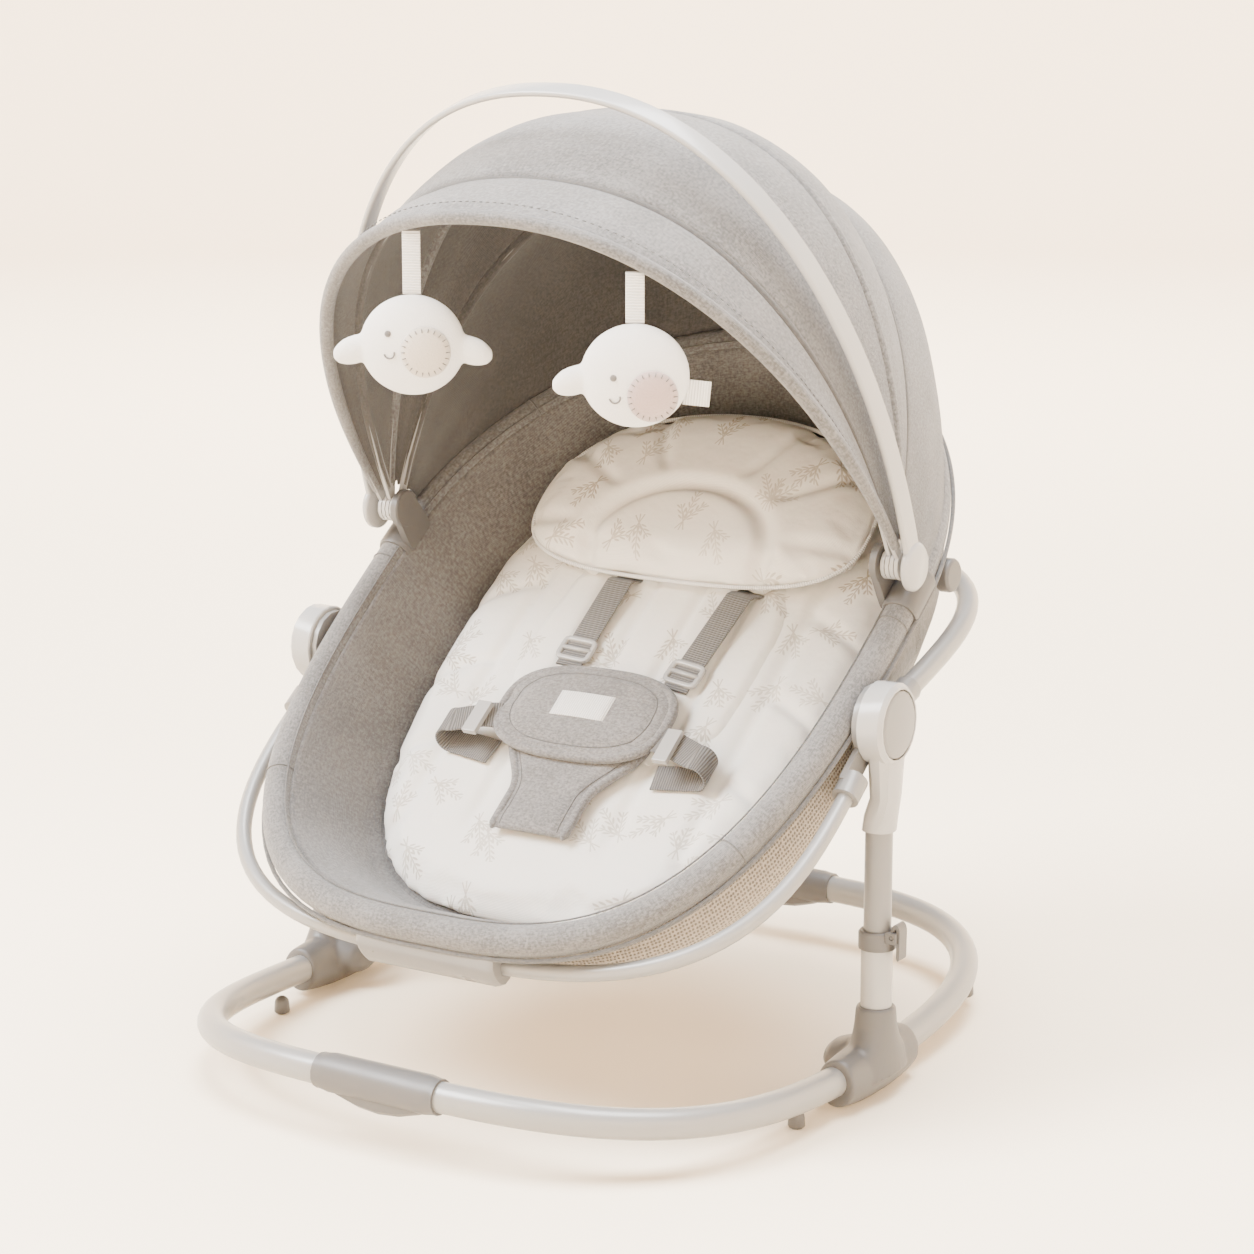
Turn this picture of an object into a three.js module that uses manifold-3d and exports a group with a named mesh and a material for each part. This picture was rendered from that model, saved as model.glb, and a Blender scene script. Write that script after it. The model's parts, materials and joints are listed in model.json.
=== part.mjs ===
// Baby bouncer seat: rocker base, telescoping posts, reclining bassinet, folding canopy, toy bar.
// Millimetres, +Z up, +Y toward the head end, origin on the floor under the middle of the base.
import * as THREE from 'three';
import Module from 'manifold-3d';
import { mergeVertices } from 'three/addons/utils/BufferGeometryUtils.js';

const wasm = await Module();
wasm.setup();

// ---------- driving dimensions ----------
const GAP = 0.35;                  // clearance between pieces that touch
const RAIL_STEPS = 22;             // stretches along each base rail
const CRADLE_STEPS = 26;           // stretches along each bent cradle tube
const ARCH_STEPS = 20;             // stretches along each bow
const DEGREE = Math.PI / 180;

const BASE = {
  halfWidth: 261, halfLength: 310, squareness: 3.3,
  tubeRadius: 12, lowHeight: 25, endRise: 25,
};
const JOINER = { halfLength: 56, radius: 15.3, finDepth: 24, finHalfWidth: 9 };
const POST = { x: 268, y: -16, radius: 11, bottom: 92, top: 217.5 };
const SLEEVE = { radius: 12.6, bottom: 42, top: 128 };
const COLLAR = { radius: 15, bottom: 122, top: 137 };
const LEVER = { pivotX: 285.2, pivotZ: 135, halfWidth: 6.4 };
const STOP = { radius: 6.5, frontY: -112, rearY: 215, frontBottom: 0.4, rearBottom: 8 };

const HUB = { z: 304, radius: 32.5, inner: 262.5, outer: 284, recessFloor: 271, recessRadius: 27.8 };
const BUTTON = { inner: 275.4, outer: 286, radius: 27 };
const PLATE = { inner: 257.2, outer: 262, radius: 29, stubRadius: 7.6 };
const SOCKET = { radius: 11, x: 264, footStart: 50, footEnd: 70, headStart: 35, headEnd: 56 };

const SEAT = { y: 71.6, z: 386, tilt: 36.1 * DEGREE };          // datum of the sloping rim plane
const RIM = { halfWidth: 246, foot: 393, head: 276, roll: 12 };
const FOOT_POWER = 3.0;            // squareness of the foot end of the seat outline
const HEAD_POWER = 1.95;           // squareness of the rounder head end
const HEAD_RISE = 0.38;            // how much shallower the tub gets at the head end
const FOOT_TUBE = { halfWidth: 264, foot: 398, depth: -25, radius: 6.5, power: 3.0 };
const HEAD_TUBE = { halfWidth: 264, reach: 279, radius: 9, power: 3.8, tilt: -19.7 * DEGREE };

const HINGE = { y: 51, z: 414.5, pinRadius: 4, eyeRadius: 12 };
const STRIP = { thickness: 3.2, width: 7 };
const BOWS = {
  front: { angle: 128.5, halfWidth: 250, height: 353, power: 2.25 },
  second: { angle: 117, halfWidth: 242, height: 335, power: 2.35 },
  middle: { angle: 88.5, halfWidth: 246, height: 343, power: 2.35 },
  rear: { angle: 69, halfWidth: 238, height: 306, power: 2.4 },
};
const TOY_BAR = { angle: 109, halfWidth: 260, height: 389, power: 2.2, width: 21, thickness: 5, disc: 20 };
const CLOTH = 3;                   // thickness of the canopy's lined fabric
const TOYS = {
  left: { x: -68, y: -160, top: 678, strap: 49, ears: [-1, 1] },
  right: { x: 124, y: -145, top: 655, strap: 38, ears: [-1] },
};
const TOY_HEAD = { halfWidth: 41, halfDepth: 17, halfHeight: 39 };

// ---------- finishes ----------
const finish = (color, roughness, metalness = 0) => ({ color, roughness, metalness });
const FINISH = {
  paintedTube: finish(0xc9c6c4, 0.38, 0.35),
  greyPlastic: finish(0x9d9a98, 0.5),
  whitePlastic: finish(0xe9e8e7, 0.28),
  lightPlastic: finish(0xcfcdcb, 0.35),
  greyFabric: finish(0xa3a1a1, 0.95),
  darkFabric: finish(0x8d8b8b, 0.95),
  whiteFabric: finish(0xf0ede8, 0.92),
  plush: finish(0xf4f3f1, 1.0),
  webbing: finish(0x8e8c8b, 0.8),
};

const bouncer = new THREE.Group();
const seatGroup = new THREE.Group();
seatGroup.position.set(0, SEAT.y, SEAT.z);
seatGroup.rotation.x = SEAT.tilt;
const canopyGroup = new THREE.Group();
canopyGroup.position.set(0, HINGE.y, HINGE.z);
bouncer.add(seatGroup, canopyGroup);

function addPart(name, geometry, look, parent = bouncer) {
  const mesh = new THREE.Mesh(geometry, new THREE.MeshStandardMaterial(look));
  mesh.name = name;
  parent.add(mesh);
  return mesh;
}

// ---------- shape helpers ----------
// Positions only, with shared vertices merged and every face pointing out.
function tidy(geometry) {
  const plain = geometry.clone();
  plain.deleteAttribute('normal');
  plain.deleteAttribute('uv');
  const merged = mergeVertices(plain, 1e-3);
  if (signedVolume(merged) < 0) flipFaces(merged);
  return merged;
}

function signedVolume(geometry) {
  const index = geometry.index.array;
  const corner = [0, 1, 2].map(() => new THREE.Vector3());
  let volume = 0;
  for (let i = 0; i < index.length; i += 3) {
    corner.forEach((point, k) => point.fromBufferAttribute(geometry.attributes.position, index[i + k]));
    volume += corner[0].dot(corner[1].cross(corner[2])) / 6;
  }
  return volume;
}

function flipFaces(geometry) {
  const index = geometry.index.array;
  for (let i = 0; i < index.length; i += 3) {
    [index[i], index[i + 1]] = [index[i + 1], index[i]];
  }
}

function toSolid(geometry) {
  const clean = tidy(geometry);
  return new wasm.Manifold(new wasm.Mesh({
    numProp: 3,
    vertProperties: new Float32Array(clean.attributes.position.array),
    triVerts: new Uint32Array(clean.index.array),
  }));
}

function fromSolid(solid) {
  const mesh = solid.getMesh();
  const geometry = new THREE.BufferGeometry();
  geometry.setAttribute('position', new THREE.Float32BufferAttribute(mesh.vertProperties, 3));
  geometry.setIndex(Array.from(mesh.triVerts));
  return geometry;
}

const join = (...pieces) => fromSolid(pieces.map(toSolid).reduce((all, next) => all.add(next)));
const cut = (body, ...tools) =>
  fromSolid(tools.map(toSolid).reduce((all, next) => all.subtract(next), toSolid(body)));

// The right-hand piece as it is, or its mirror image for the left.
function onSide(geometry, side) {
  const copy = geometry.clone();
  if (side === 'left') copy.scale(-1, 1, 1);
  return tidy(copy);
}

// Solid through a row of equal rings of points, with its two ends closed, or joined when it is a loop.
function loft(rings, isLoop = false) {
  const count = rings[0].length;
  const index = [];
  const strips = isLoop ? rings.length : rings.length - 1;
  for (let i = 0; i < strips; i++) {
    const here = i * count;
    const next = ((i + 1) % rings.length) * count;
    for (let j = 0; j < count; j++) {
      const k = (j + 1) % count;
      index.push(here + j, here + k, next + k, here + j, next + k, next + j);
    }
  }
  if (!isLoop) {
    capRing(index, 0, count, true);
    capRing(index, (rings.length - 1) * count, count, false);
  }
  const geometry = new THREE.BufferGeometry().setFromPoints(rings.flat());
  geometry.setIndex(index);
  return tidy(geometry);
}

// Closes one ring with a band of triangles across it.
function capRing(index, start, count, isFirst) {
  for (let j = 0; j < count / 2 - 1; j++) {
    const corners = [start + j, start + j + 1, start + count - 2 - j, start + count - 1 - j];
    const [a, b, c, d] = isFirst ? corners.reverse() : corners;
    index.push(a, b, c, a, c, d);
  }
}

// Radius of a superellipse at a polar angle.
function superRadius(angle, halfWidth, halfLength, power) {
  const across = Math.abs(Math.cos(angle) / halfWidth) ** power;
  const along = Math.abs(Math.sin(angle) / halfLength) ** power;
  return (across + along) ** (-1 / power);
}

// Ring of points round a rounded box, in a plane given by a centre and two directions.
function roundedRing(centre, across, up, halfAcross, halfUp, power = 2, count = 16) {
  return Array.from({ length: count }, (_, i) => {
    const angle = (i + 0.5) / count * 2 * Math.PI;
    const radius = superRadius(angle, halfAcross, halfUp, power);
    return centre.clone()
      .addScaledVector(across, radius * Math.cos(angle))
      .addScaledVector(up, radius * Math.sin(angle));
  });
}

const X = new THREE.Vector3(1, 0, 0);
const Y = new THREE.Vector3(0, 1, 0);
const Z = new THREE.Vector3(0, 0, 1);
const point = (x, y, z) => new THREE.Vector3(x, y, z);

class PathCurve extends THREE.Curve {
  constructor(pointAt) {
    super();
    this.pointAt = pointAt;
  }

  getPoint(t) {
    return this.pointAt(t);
  }
}

function circleShape(radius, sides) {
  const corners = Array.from({ length: sides }, (_, i) => {
    const angle = i / sides * 2 * Math.PI;
    return new THREE.Vector2(radius * Math.cos(angle), radius * Math.sin(angle));
  });
  return new THREE.Shape(corners);
}

// Round bar along a curve, standing for a thin-walled tube.
function tube(curve, radius, steps, sides = 10) {
  const shape = circleShape(radius, sides);
  return tidy(new THREE.ExtrudeGeometry(shape, { steps, bevelEnabled: false, extrudePath: curve }));
}

// Disc or ring turned about the X axis from [x, radius] corners.
function turnedAboutX(profile, segments = 24) {
  const corners = profile.map(([x, radius]) => new THREE.Vector2(radius, x));
  const geometry = new THREE.LatheGeometry([...corners, corners[0]], segments);
  geometry.rotateZ(-Math.PI / 2);
  return tidy(geometry);
}

// Ring or post turned about the Z axis from [radius, z] corners.
function turnedAboutZ(profile, segments = 16) {
  const corners = profile.map(([radius, z]) => new THREE.Vector2(radius, z));
  const geometry = new THREE.LatheGeometry([...corners, corners[0]], segments);
  geometry.rotateX(Math.PI / 2);
  return tidy(geometry);
}

const rodAboutX = (radius, from, to, segments = 12) =>
  turnedAboutX([[from, 0], [from, radius], [to, radius], [to, 0]], segments);

// ---------- rocker base ----------
function railPoint(angle) {
  const radius = superRadius(angle, BASE.halfWidth, BASE.halfLength, BASE.squareness);
  const y = radius * Math.sin(angle);
  return point(radius * Math.cos(angle), y, BASE.lowHeight + BASE.endRise * (y / BASE.halfLength) ** 2);
}

function railCurve() {
  const endAngle = 88.6 * DEGREE;
  return new PathCurve((t) => railPoint((2 * t - 1) * endAngle));
}

// The rail's outline at one y, on the right-hand side.
function railAt(y) {
  const along = Math.abs(y / BASE.halfLength) ** BASE.squareness;
  const x = BASE.halfWidth * (1 - along) ** (1 / BASE.squareness);
  return point(x, y, BASE.lowHeight + BASE.endRise * (y / BASE.halfLength) ** 2);
}

const rail = tube(railCurve(), BASE.tubeRadius, RAIL_STEPS);
const railClearance = tube(railCurve(), BASE.tubeRadius + GAP, RAIL_STEPS);

function joinerShape() {
  const height = BASE.lowHeight + BASE.endRise;
  const stations = [-1, -0.94, -0.8, 0, 0.8, 0.94, 1];
  const sleeve = loft(stations.map((t) => {
    const radius = JOINER.radius - (Math.abs(t) > 0.9 ? 1.2 : 0);
    return roundedRing(point(t * JOINER.halfLength, BASE.halfLength, height), Y, Z, radius, radius, 2, 14);
  }));
  const finStations = [-1, -0.8, -0.4, 0, 0.4, 0.8, 1];
  const fin = loft(finStations.map((t) => {
    const fall = JOINER.finDepth * (1 - 0.45 * t * t);
    const centre = point(t * JOINER.halfLength * 0.84, BASE.halfLength, height - fall / 2);
    return roundedRing(centre, Y, Z, JOINER.finHalfWidth * (1 - 0.35 * t * t), fall / 2, 3, 12);
  }));
  const leftRail = onSide(railClearance, 'left');
  return cut(join(sleeve, fin), railClearance, leftRail);
}

function saddleShape() {
  const rows = [
    [0, 15, 44], [5, 19, 52], [16, 20.5, 56], [30, 20, 52],
    [42, 18.5, 38], [52, 17, 26], [62, 15.8, 18], [74, 15.4, 15.6],
  ];
  const body = loft(rows.map(([z, halfX, halfY]) => {
    return roundedRing(point(264.5, POST.y, z), X, Y, halfX, halfY, 2.4, 14);
  }));
  const wingRows = [[262, 27, 50, 8], [246, 25, 46, 8], [234, 21, 38, 9], [227, 15, 31, 12]];
  const wing = loft(wingRows.map(([x, halfY, top, bottom]) => {
    return roundedRing(point(x, POST.y, (top + bottom) / 2), Y, Z, halfY, (top - bottom) / 2, 2.6, 12);
  }));
  const boreRadius = SLEEVE.radius + GAP;
  const bore = turnedAboutZ([[0, SLEEVE.bottom], [boreRadius, SLEEVE.bottom], [boreRadius, 90], [0, 90]]);
  bore.translate(POST.x, POST.y, 0);
  return cut(join(body, wing), railClearance, bore);
}

function sleeveShape() {
  const bore = POST.radius + GAP;
  const foot = SLEEVE.bottom + GAP;
  const profile = [[bore, foot], [SLEEVE.radius, foot], [SLEEVE.radius, SLEEVE.top], [bore, SLEEVE.top]];
  const sleeve = turnedAboutZ(profile);
  return sleeve.translate(POST.x, POST.y, 0);
}

function collarShape() {
  const { radius, bottom, top } = COLLAR;
  const overSleeve = SLEEVE.radius + GAP;
  const overPost = POST.radius + GAP;
  const ring = turnedAboutZ([
    [overSleeve, bottom], [radius, bottom], [radius, top - 2], [radius - 1.4, top],
    [overPost, top], [overPost, SLEEVE.top + GAP], [overSleeve, SLEEVE.top + GAP],
  ]);
  ring.translate(POST.x, POST.y, 0);
  const ears = [-1, 1].map((sign) => {
    const centre = POST.y + sign * (LEVER.halfWidth + 2.2);
    const ear = new THREE.BoxGeometry(9, 3.4, 9);
    return ear.translate(POST.x + radius + 1.4, centre, LEVER.pivotZ - 0.8);
  });
  const pinClearance = new THREE.CylinderGeometry(1.9, 1.9, 30, 12);
  pinClearance.translate(LEVER.pivotX, POST.y, LEVER.pivotZ);
  return cut(join(ring, ...ears), pinClearance);
}

// Cane-shaped clip with its own cross pin, which turns in the collar's ears.
function leverShape() {
  const outline = new THREE.Shape();
  outline.moveTo(-1.8, -2.2);
  outline.lineTo(1.0, -2.2);
  outline.lineTo(1.0, 5.5);
  outline.quadraticCurveTo(1.8, 7.4, 2.6, 5.5);
  outline.lineTo(2.6, -17.5);
  outline.quadraticCurveTo(4.2, -21.5, 5.4, -17.5);
  outline.lineTo(5.6, 4);
  outline.quadraticCurveTo(4.8, 10, 1.6, 10);
  outline.quadraticCurveTo(-1.4, 9.6, -1.8, 5);
  const width = 2 * LEVER.halfWidth;
  const hook = new THREE.ExtrudeGeometry(outline, { depth: width, bevelEnabled: false, curveSegments: 5 });
  hook.rotateX(Math.PI / 2);
  hook.translate(LEVER.pivotX, POST.y + LEVER.halfWidth, LEVER.pivotZ);
  const pin = new THREE.CylinderGeometry(1.5, 1.5, width + 7, 12);
  pin.translate(LEVER.pivotX, POST.y, LEVER.pivotZ);
  return join(hook, pin);
}

// Short rocking stop with a domed top, hanging just under the rail.
function stopShape(y, bottom, inset) {
  const under = railAt(y);
  const top = under.z - BASE.tubeRadius - 0.6;
  const domeStart = top - STOP.radius;
  const dome = [1, 2, 3, 4].map((step) => {
    const angle = step / 4 * Math.PI / 2;
    return [STOP.radius * Math.cos(angle), domeStart + STOP.radius * Math.sin(angle)];
  });
  const foot = [[0, bottom], [STOP.radius - 1, bottom], [STOP.radius + 0.4, bottom + 2]];
  const profile = [...foot, [STOP.radius, domeStart], ...dome];
  return turnedAboutZ(profile, 10).translate(under.x - inset, y, 0);
}

function buildBase() {
  const joiner = joinerShape();
  addPart('joiner_head', joiner, FINISH.greyPlastic);
  addPart('joiner_foot', tidy(joiner.clone().rotateZ(Math.PI)), FINISH.greyPlastic);
  const sidePieces = [
    ['base_rail', rail, FINISH.paintedTube],
    ['saddle', saddleShape(), FINISH.greyPlastic],
    ['sleeve', sleeveShape(), FINISH.whitePlastic],
    ['collar', collarShape(), FINISH.greyPlastic],
    ['lever', leverShape(), FINISH.greyPlastic],
    ['stop_front', stopShape(STOP.frontY, STOP.frontBottom, 8), FINISH.greyPlastic],
    ['stop_rear', stopShape(STOP.rearY, STOP.rearBottom, -2), FINISH.greyPlastic],
  ];
  addPairs(sidePieces, bouncer);
}

// One mesh for the right-hand side and its mirror image for the left.
function addPairs(pieces, parent) {
  for (const side of ['left', 'right']) {
    for (const [name, geometry, look] of pieces) {
      addPart(`${name}_${side}`, onSide(geometry, side), look, parent);
    }
  }
}

// ---------- telescoping posts and hubs ----------
function postShape() {
  const ends = [POST.bottom, POST.top];
  const post = turnedAboutZ([[0, ends[0]], [POST.radius, ends[0]], [POST.radius, ends[1]], [0, ends[1]]]);
  return post.translate(POST.x, POST.y, 0);
}

// Round housing with a tapering neck, recessed for the button and bored for the seat's stub axle.
function hubShellShape() {
  const middle = (HUB.inner + HUB.outer) / 2;
  const edge = 3;
  const drum = turnedAboutX([
    [HUB.inner, 0], [HUB.inner, HUB.radius - 1], [HUB.inner + 1, HUB.radius],
    [HUB.outer - edge, HUB.radius], [HUB.outer, HUB.radius - edge], [HUB.outer, 0],
  ], 20);
  drum.translate(0, POST.y, HUB.z);
  const rows = [
    [POST.top + GAP, POST.x, 13, 13], [230, 269.5, 12.6, 13.8], [246, middle, 10.6, 15.5],
    [262, middle, 10.6, 18], [276, middle, 10.6, 21], [290, middle, 10.6, 25],
  ];
  const neck = loft(rows.map(([z, x, halfX, halfY]) => {
    return roundedRing(point(x, POST.y, z), X, Y, halfX, halfY, 2.5, 16);
  }));
  const recess = rodAboutX(HUB.recessRadius, HUB.recessFloor, HUB.outer + 5, 20)
    .translate(0, POST.y, HUB.z);
  const axleBore = rodAboutX(PLATE.stubRadius + GAP, HUB.inner - 5, HUB.recessFloor - 2)
    .translate(0, POST.y, HUB.z);
  return cut(join(drum, neck), recess, axleBore);
}

function buttonShape() {
  const { inner, outer, radius } = BUTTON;
  const profile = [
    [inner, 0], [inner, radius - 1], [inner + 1, radius],
    [outer - 3, radius], [outer - 0.8, radius - 3], [outer, 0],
  ];
  const button = turnedAboutX(profile, 20);
  return button.translate(0, POST.y, HUB.z);
}

function buildPosts() {
  addPairs([
    ['post', postShape(), FINISH.paintedTube],
    ['hub_shell', hubShellShape(), FINISH.whitePlastic],
    ['hub_button', buttonShape(), FINISH.lightPlastic],
  ], bouncer);
}

// ---------- seat cradle: plates, sockets and bent tubes ----------
const seatFromWorld = (y, z) => {
  const dy = y - SEAT.y;
  const dz = z - SEAT.z;
  return {
    s: dy * Math.cos(SEAT.tilt) + dz * Math.sin(SEAT.tilt),
    n: dz * Math.cos(SEAT.tilt) - dy * Math.sin(SEAT.tilt),
  };
};
const HUB_SEAT = seatFromWorld(POST.y, HUB.z);
const HINGE_SEAT = seatFromWorld(HINGE.y, HINGE.z);

// Direction from the hub to where the foot tube leaves its socket.
const footDrop = FOOT_TUBE.depth - HUB_SEAT.n;
const footStart = HUB_SEAT.s - 58;

function footTubeCurve() {
  const length = FOOT_TUBE.foot + footStart;
  return new PathCurve((t) => {
    const angle = Math.PI * t;
    const radius = superRadius(angle, FOOT_TUBE.halfWidth, length, FOOT_TUBE.power);
    return point(radius * Math.cos(angle), footStart - radius * Math.sin(angle), 0);
  });
}

function headTubeCurve() {
  const start = 44;
  const length = HEAD_TUBE.reach - start;
  return new PathCurve((t) => {
    const angle = Math.PI * t;
    const radius = superRadius(angle, HEAD_TUBE.halfWidth, length, HEAD_TUBE.power);
    return point(radius * Math.cos(angle), start + radius * Math.sin(angle), 0);
  });
}

const seatFootTube = (radius) => tube(footTubeCurve(), radius, CRADLE_STEPS)
  .translate(0, 0, FOOT_TUBE.depth);
const seatHeadTube = (radius) => tube(headTubeCurve(), radius, CRADLE_STEPS)
  .rotateX(HEAD_TUBE.tilt)
  .translate(0, HUB_SEAT.s, HUB_SEAT.n);

function socketRod(fromS, toS, radius, x = SOCKET.x) {
  return loft([fromS, toS].map((s) => roundedRing(point(x, s, 0), X, Z, radius, radius, 2, 16)));
}

// Disc against the hub with a stub axle, and a socket for each bent tube.
function cradlePlateShape() {
  const disc = rodAboutX(PLATE.radius, PLATE.inner, PLATE.outer, 16);
  const stub = rodAboutX(PLATE.stubRadius, PLATE.outer - 1, HUB.recessFloor - 3);
  const footSocket = socketRod(-SOCKET.footEnd, -SOCKET.footStart, SOCKET.radius).translate(0, 0, footDrop);
  const headSocket = socketRod(SOCKET.headStart, SOCKET.headEnd, SOCKET.radius).rotateX(HEAD_TUBE.tilt);
  const middle = (PLATE.inner + PLATE.outer) / 2;
  const footArm = new THREE.BoxGeometry(4.6, 42, 22).translate(middle, -38, footDrop);
  const headArm = new THREE.BoxGeometry(4.6, 30, 20).translate(middle, 30, 0).rotateX(HEAD_TUBE.tilt);
  const plate = join(disc, stub, footSocket, headSocket, footArm, headArm)
    .translate(0, HUB_SEAT.s, HUB_SEAT.n);
  return cut(plate, seatFootTube(FOOT_TUBE.radius + GAP), seatHeadTube(HEAD_TUBE.radius + GAP));
}

// Half-pipe clip that ties the foot tube up to the rim.
function footConnectorShape() {
  const stations = [-1, -0.93, 0, 0.93, 1];
  const body = loft(stations.map((t) => {
    const shrink = Math.abs(t) > 0.95 ? 2 : 0;
    return roundedRing(point(64 * t, -FOOT_TUBE.foot, -21.5), Y, Z, 14.5 - shrink, 17.5 - shrink, 3, 14);
  }));
  return cut(body, seatFootTube(FOOT_TUBE.radius + GAP), rimRollShape(RIM.roll + GAP));
}

// ---------- rim, tub and soft goods ----------
// Point on the seat's outline: square at the foot end, rounder at the head end.
function eggPoint(angle, halfWidth, foot, head) {
  const isHead = Math.sin(angle) > 0;
  const radius = superRadius(angle, halfWidth, isHead ? head : foot, isHead ? HEAD_POWER : FOOT_POWER);
  return new THREE.Vector2(radius * Math.cos(angle), radius * Math.sin(angle));
}

function smoothStep(value) {
  const t = Math.min(1, Math.max(0, value));
  return t * t * (3 - 2 * t);
}

// Depth below the rim plane: the deep parts get shallower toward the head end, the top edge does not.
const tubDepth = (depth, s) => depth * (1 - HEAD_RISE * smoothStep(s / RIM.head) * smoothStep(-depth / 60));

function eggRing(halfWidth, foot, head, depth, count = 32) {
  return Array.from({ length: count }, (_, i) => {
    const flat = eggPoint((i + 0.5) / count * 2 * Math.PI, halfWidth, foot, head);
    return point(flat.x, flat.y, tubDepth(depth, flat.y));
  });
}

// Rows run from one closed end to the other as [half width, foot, head, depth].
const eggSolid = (rows, count) => loft(rows.map((row) => eggRing(...row, count)));

function rimRollShape(radius) {
  const count = 44;
  const step = 1e-3;
  const rings = Array.from({ length: count }, (_, i) => {
    const angle = i / count * 2 * Math.PI;
    const here = eggPoint(angle, RIM.halfWidth, RIM.foot, RIM.head);
    const ahead = eggPoint(angle + step, RIM.halfWidth, RIM.foot, RIM.head);
    const outward = new THREE.Vector3(ahead.y - here.y, here.x - ahead.x, 0).normalize();
    return roundedRing(point(here.x, here.y, 0), outward, Z, radius, radius, 2, 8);
  });
  return loft(rings, true);
}

function basketShape() {
  return eggSolid([
    [60, 90, 70, -92], [150, 240, 190, -92], [192, 318, 224, -90],
    [208, 340, 238, -76], [228, 364, 258, -44], [236, 373, 265, -14.5],
    [246, 384, 276, -14.5], [242, 380, 272, -50], [226, 362, 254, -88],
    [196, 322, 226, -112], [140, 230, 180, -121], [50, 80, 60, -124],
  ]);
}

function seatPadShape() {
  return eggSolid([
    [60, 90, 70, -91], [150, 240, 180, -91], [182, 304, 210, -88], [192, 316, 218, -78],
    [184, 306, 212, -67], [150, 250, 180, -59], [60, 90, 70, -54.5],
  ], 24);
}

// Soft cushion on the sloping floor: rounded outline, crowned top.
function cushionShape({ x = 0, s, halfWidth, halfLength, bottom, top, power = 2.6, count = 18 }) {
  const rows = [[0.3, 0], [0.9, 0], [1, 0.4], [0.92, 0.78], [0.6, 0.96], [0.2, 1]];
  return loft(rows.map(([scale, height]) => {
    const ring = roundedRing(point(x, s, 0), X, Y, halfWidth * scale, halfLength * scale, power, count);
    ring.forEach((corner) => corner.setZ(tubDepth(bottom, corner.y) + height * (top - bottom)));
    return ring;
  }));
}

// Flat tapering pad that dips from under the belly pad to the seat.
function crotchPadShape() {
  const rows = [
    [-108, 50, -50.5], [-150, 54, -50.5], [-182, 50, -50.8],
    [-205, 42, -51], [-232, 37, -51.2], [-256, 37, -51.5],
  ];
  const thickness = 7;
  return loft(rows.map(([s, halfWidth, bottom]) => {
    return roundedRing(point(-1, s, bottom + thickness / 2), X, Z, halfWidth, thickness / 2, 4, 16);
  }));
}

const STRAPS = {
  left: { top: point(-43.9, 18, -38.1), bottom: point(-52, -82, -46.8) },
  right: { top: point(74.6, 17, -37.7), bottom: point(57, -92, -46.8) },
};
const STRAP = { halfWidth: 12.5, halfThickness: 1 };

// Axes of one shoulder strap: along it, across it, and off its face.
function strapAxes({ top, bottom }) {
  const along = top.clone().sub(bottom).normalize();
  const across = new THREE.Vector3().crossVectors(along, Z).normalize();
  const off = new THREE.Vector3().crossVectors(across, along);
  return { along, across, off };
}

function shoulderStrapShape(strap) {
  const { across, off } = strapAxes(strap);
  return loft([strap.bottom, strap.top].map((end) => {
    return roundedRing(end, across, off, STRAP.halfWidth, STRAP.halfThickness, 8, 16);
  }));
}

function sliderShape(strap) {
  const { along, across, off } = strapAxes(strap);
  const ringAt = (distance, halfWidth, halfThickness) => {
    const centre = strap.bottom.clone().addScaledVector(along, distance);
    return roundedRing(centre, across, off, halfWidth, halfThickness, 8, 16);
  };
  const outside = loft([5, 29].map((distance) => ringAt(distance, 17.5, 3.2)));
  const slotRing = (distance) => ringAt(distance, STRAP.halfWidth + 0.8, STRAP.halfThickness + 0.5);
  const slot = loft([-1, 40].map(slotRing));
  return cut(outside, slot);
}

// Loop of webbing from the belly pad out to the side and back down to the seat.
function waistStrapShape() {
  const turn = new PathCurve((t) => {
    const angle = (0.5 - t) * Math.PI;
    return point(100 + 26 * Math.cos(angle), -176, -37 + 8 * Math.sin(angle));
  });
  const section = new THREE.Shape();
  section.moveTo(-STRAP.halfWidth, -1);
  section.lineTo(STRAP.halfWidth, -1);
  section.lineTo(STRAP.halfWidth, 1);
  section.lineTo(-STRAP.halfWidth, 1);
  return tidy(new THREE.ExtrudeGeometry(section, { steps: 14, bevelEnabled: false, extrudePath: turn }));
}

function buckleShape() {
  const body = new THREE.BoxGeometry(13, 33, 5).translate(92, -163, -29);
  return tidy(body);
}

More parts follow.
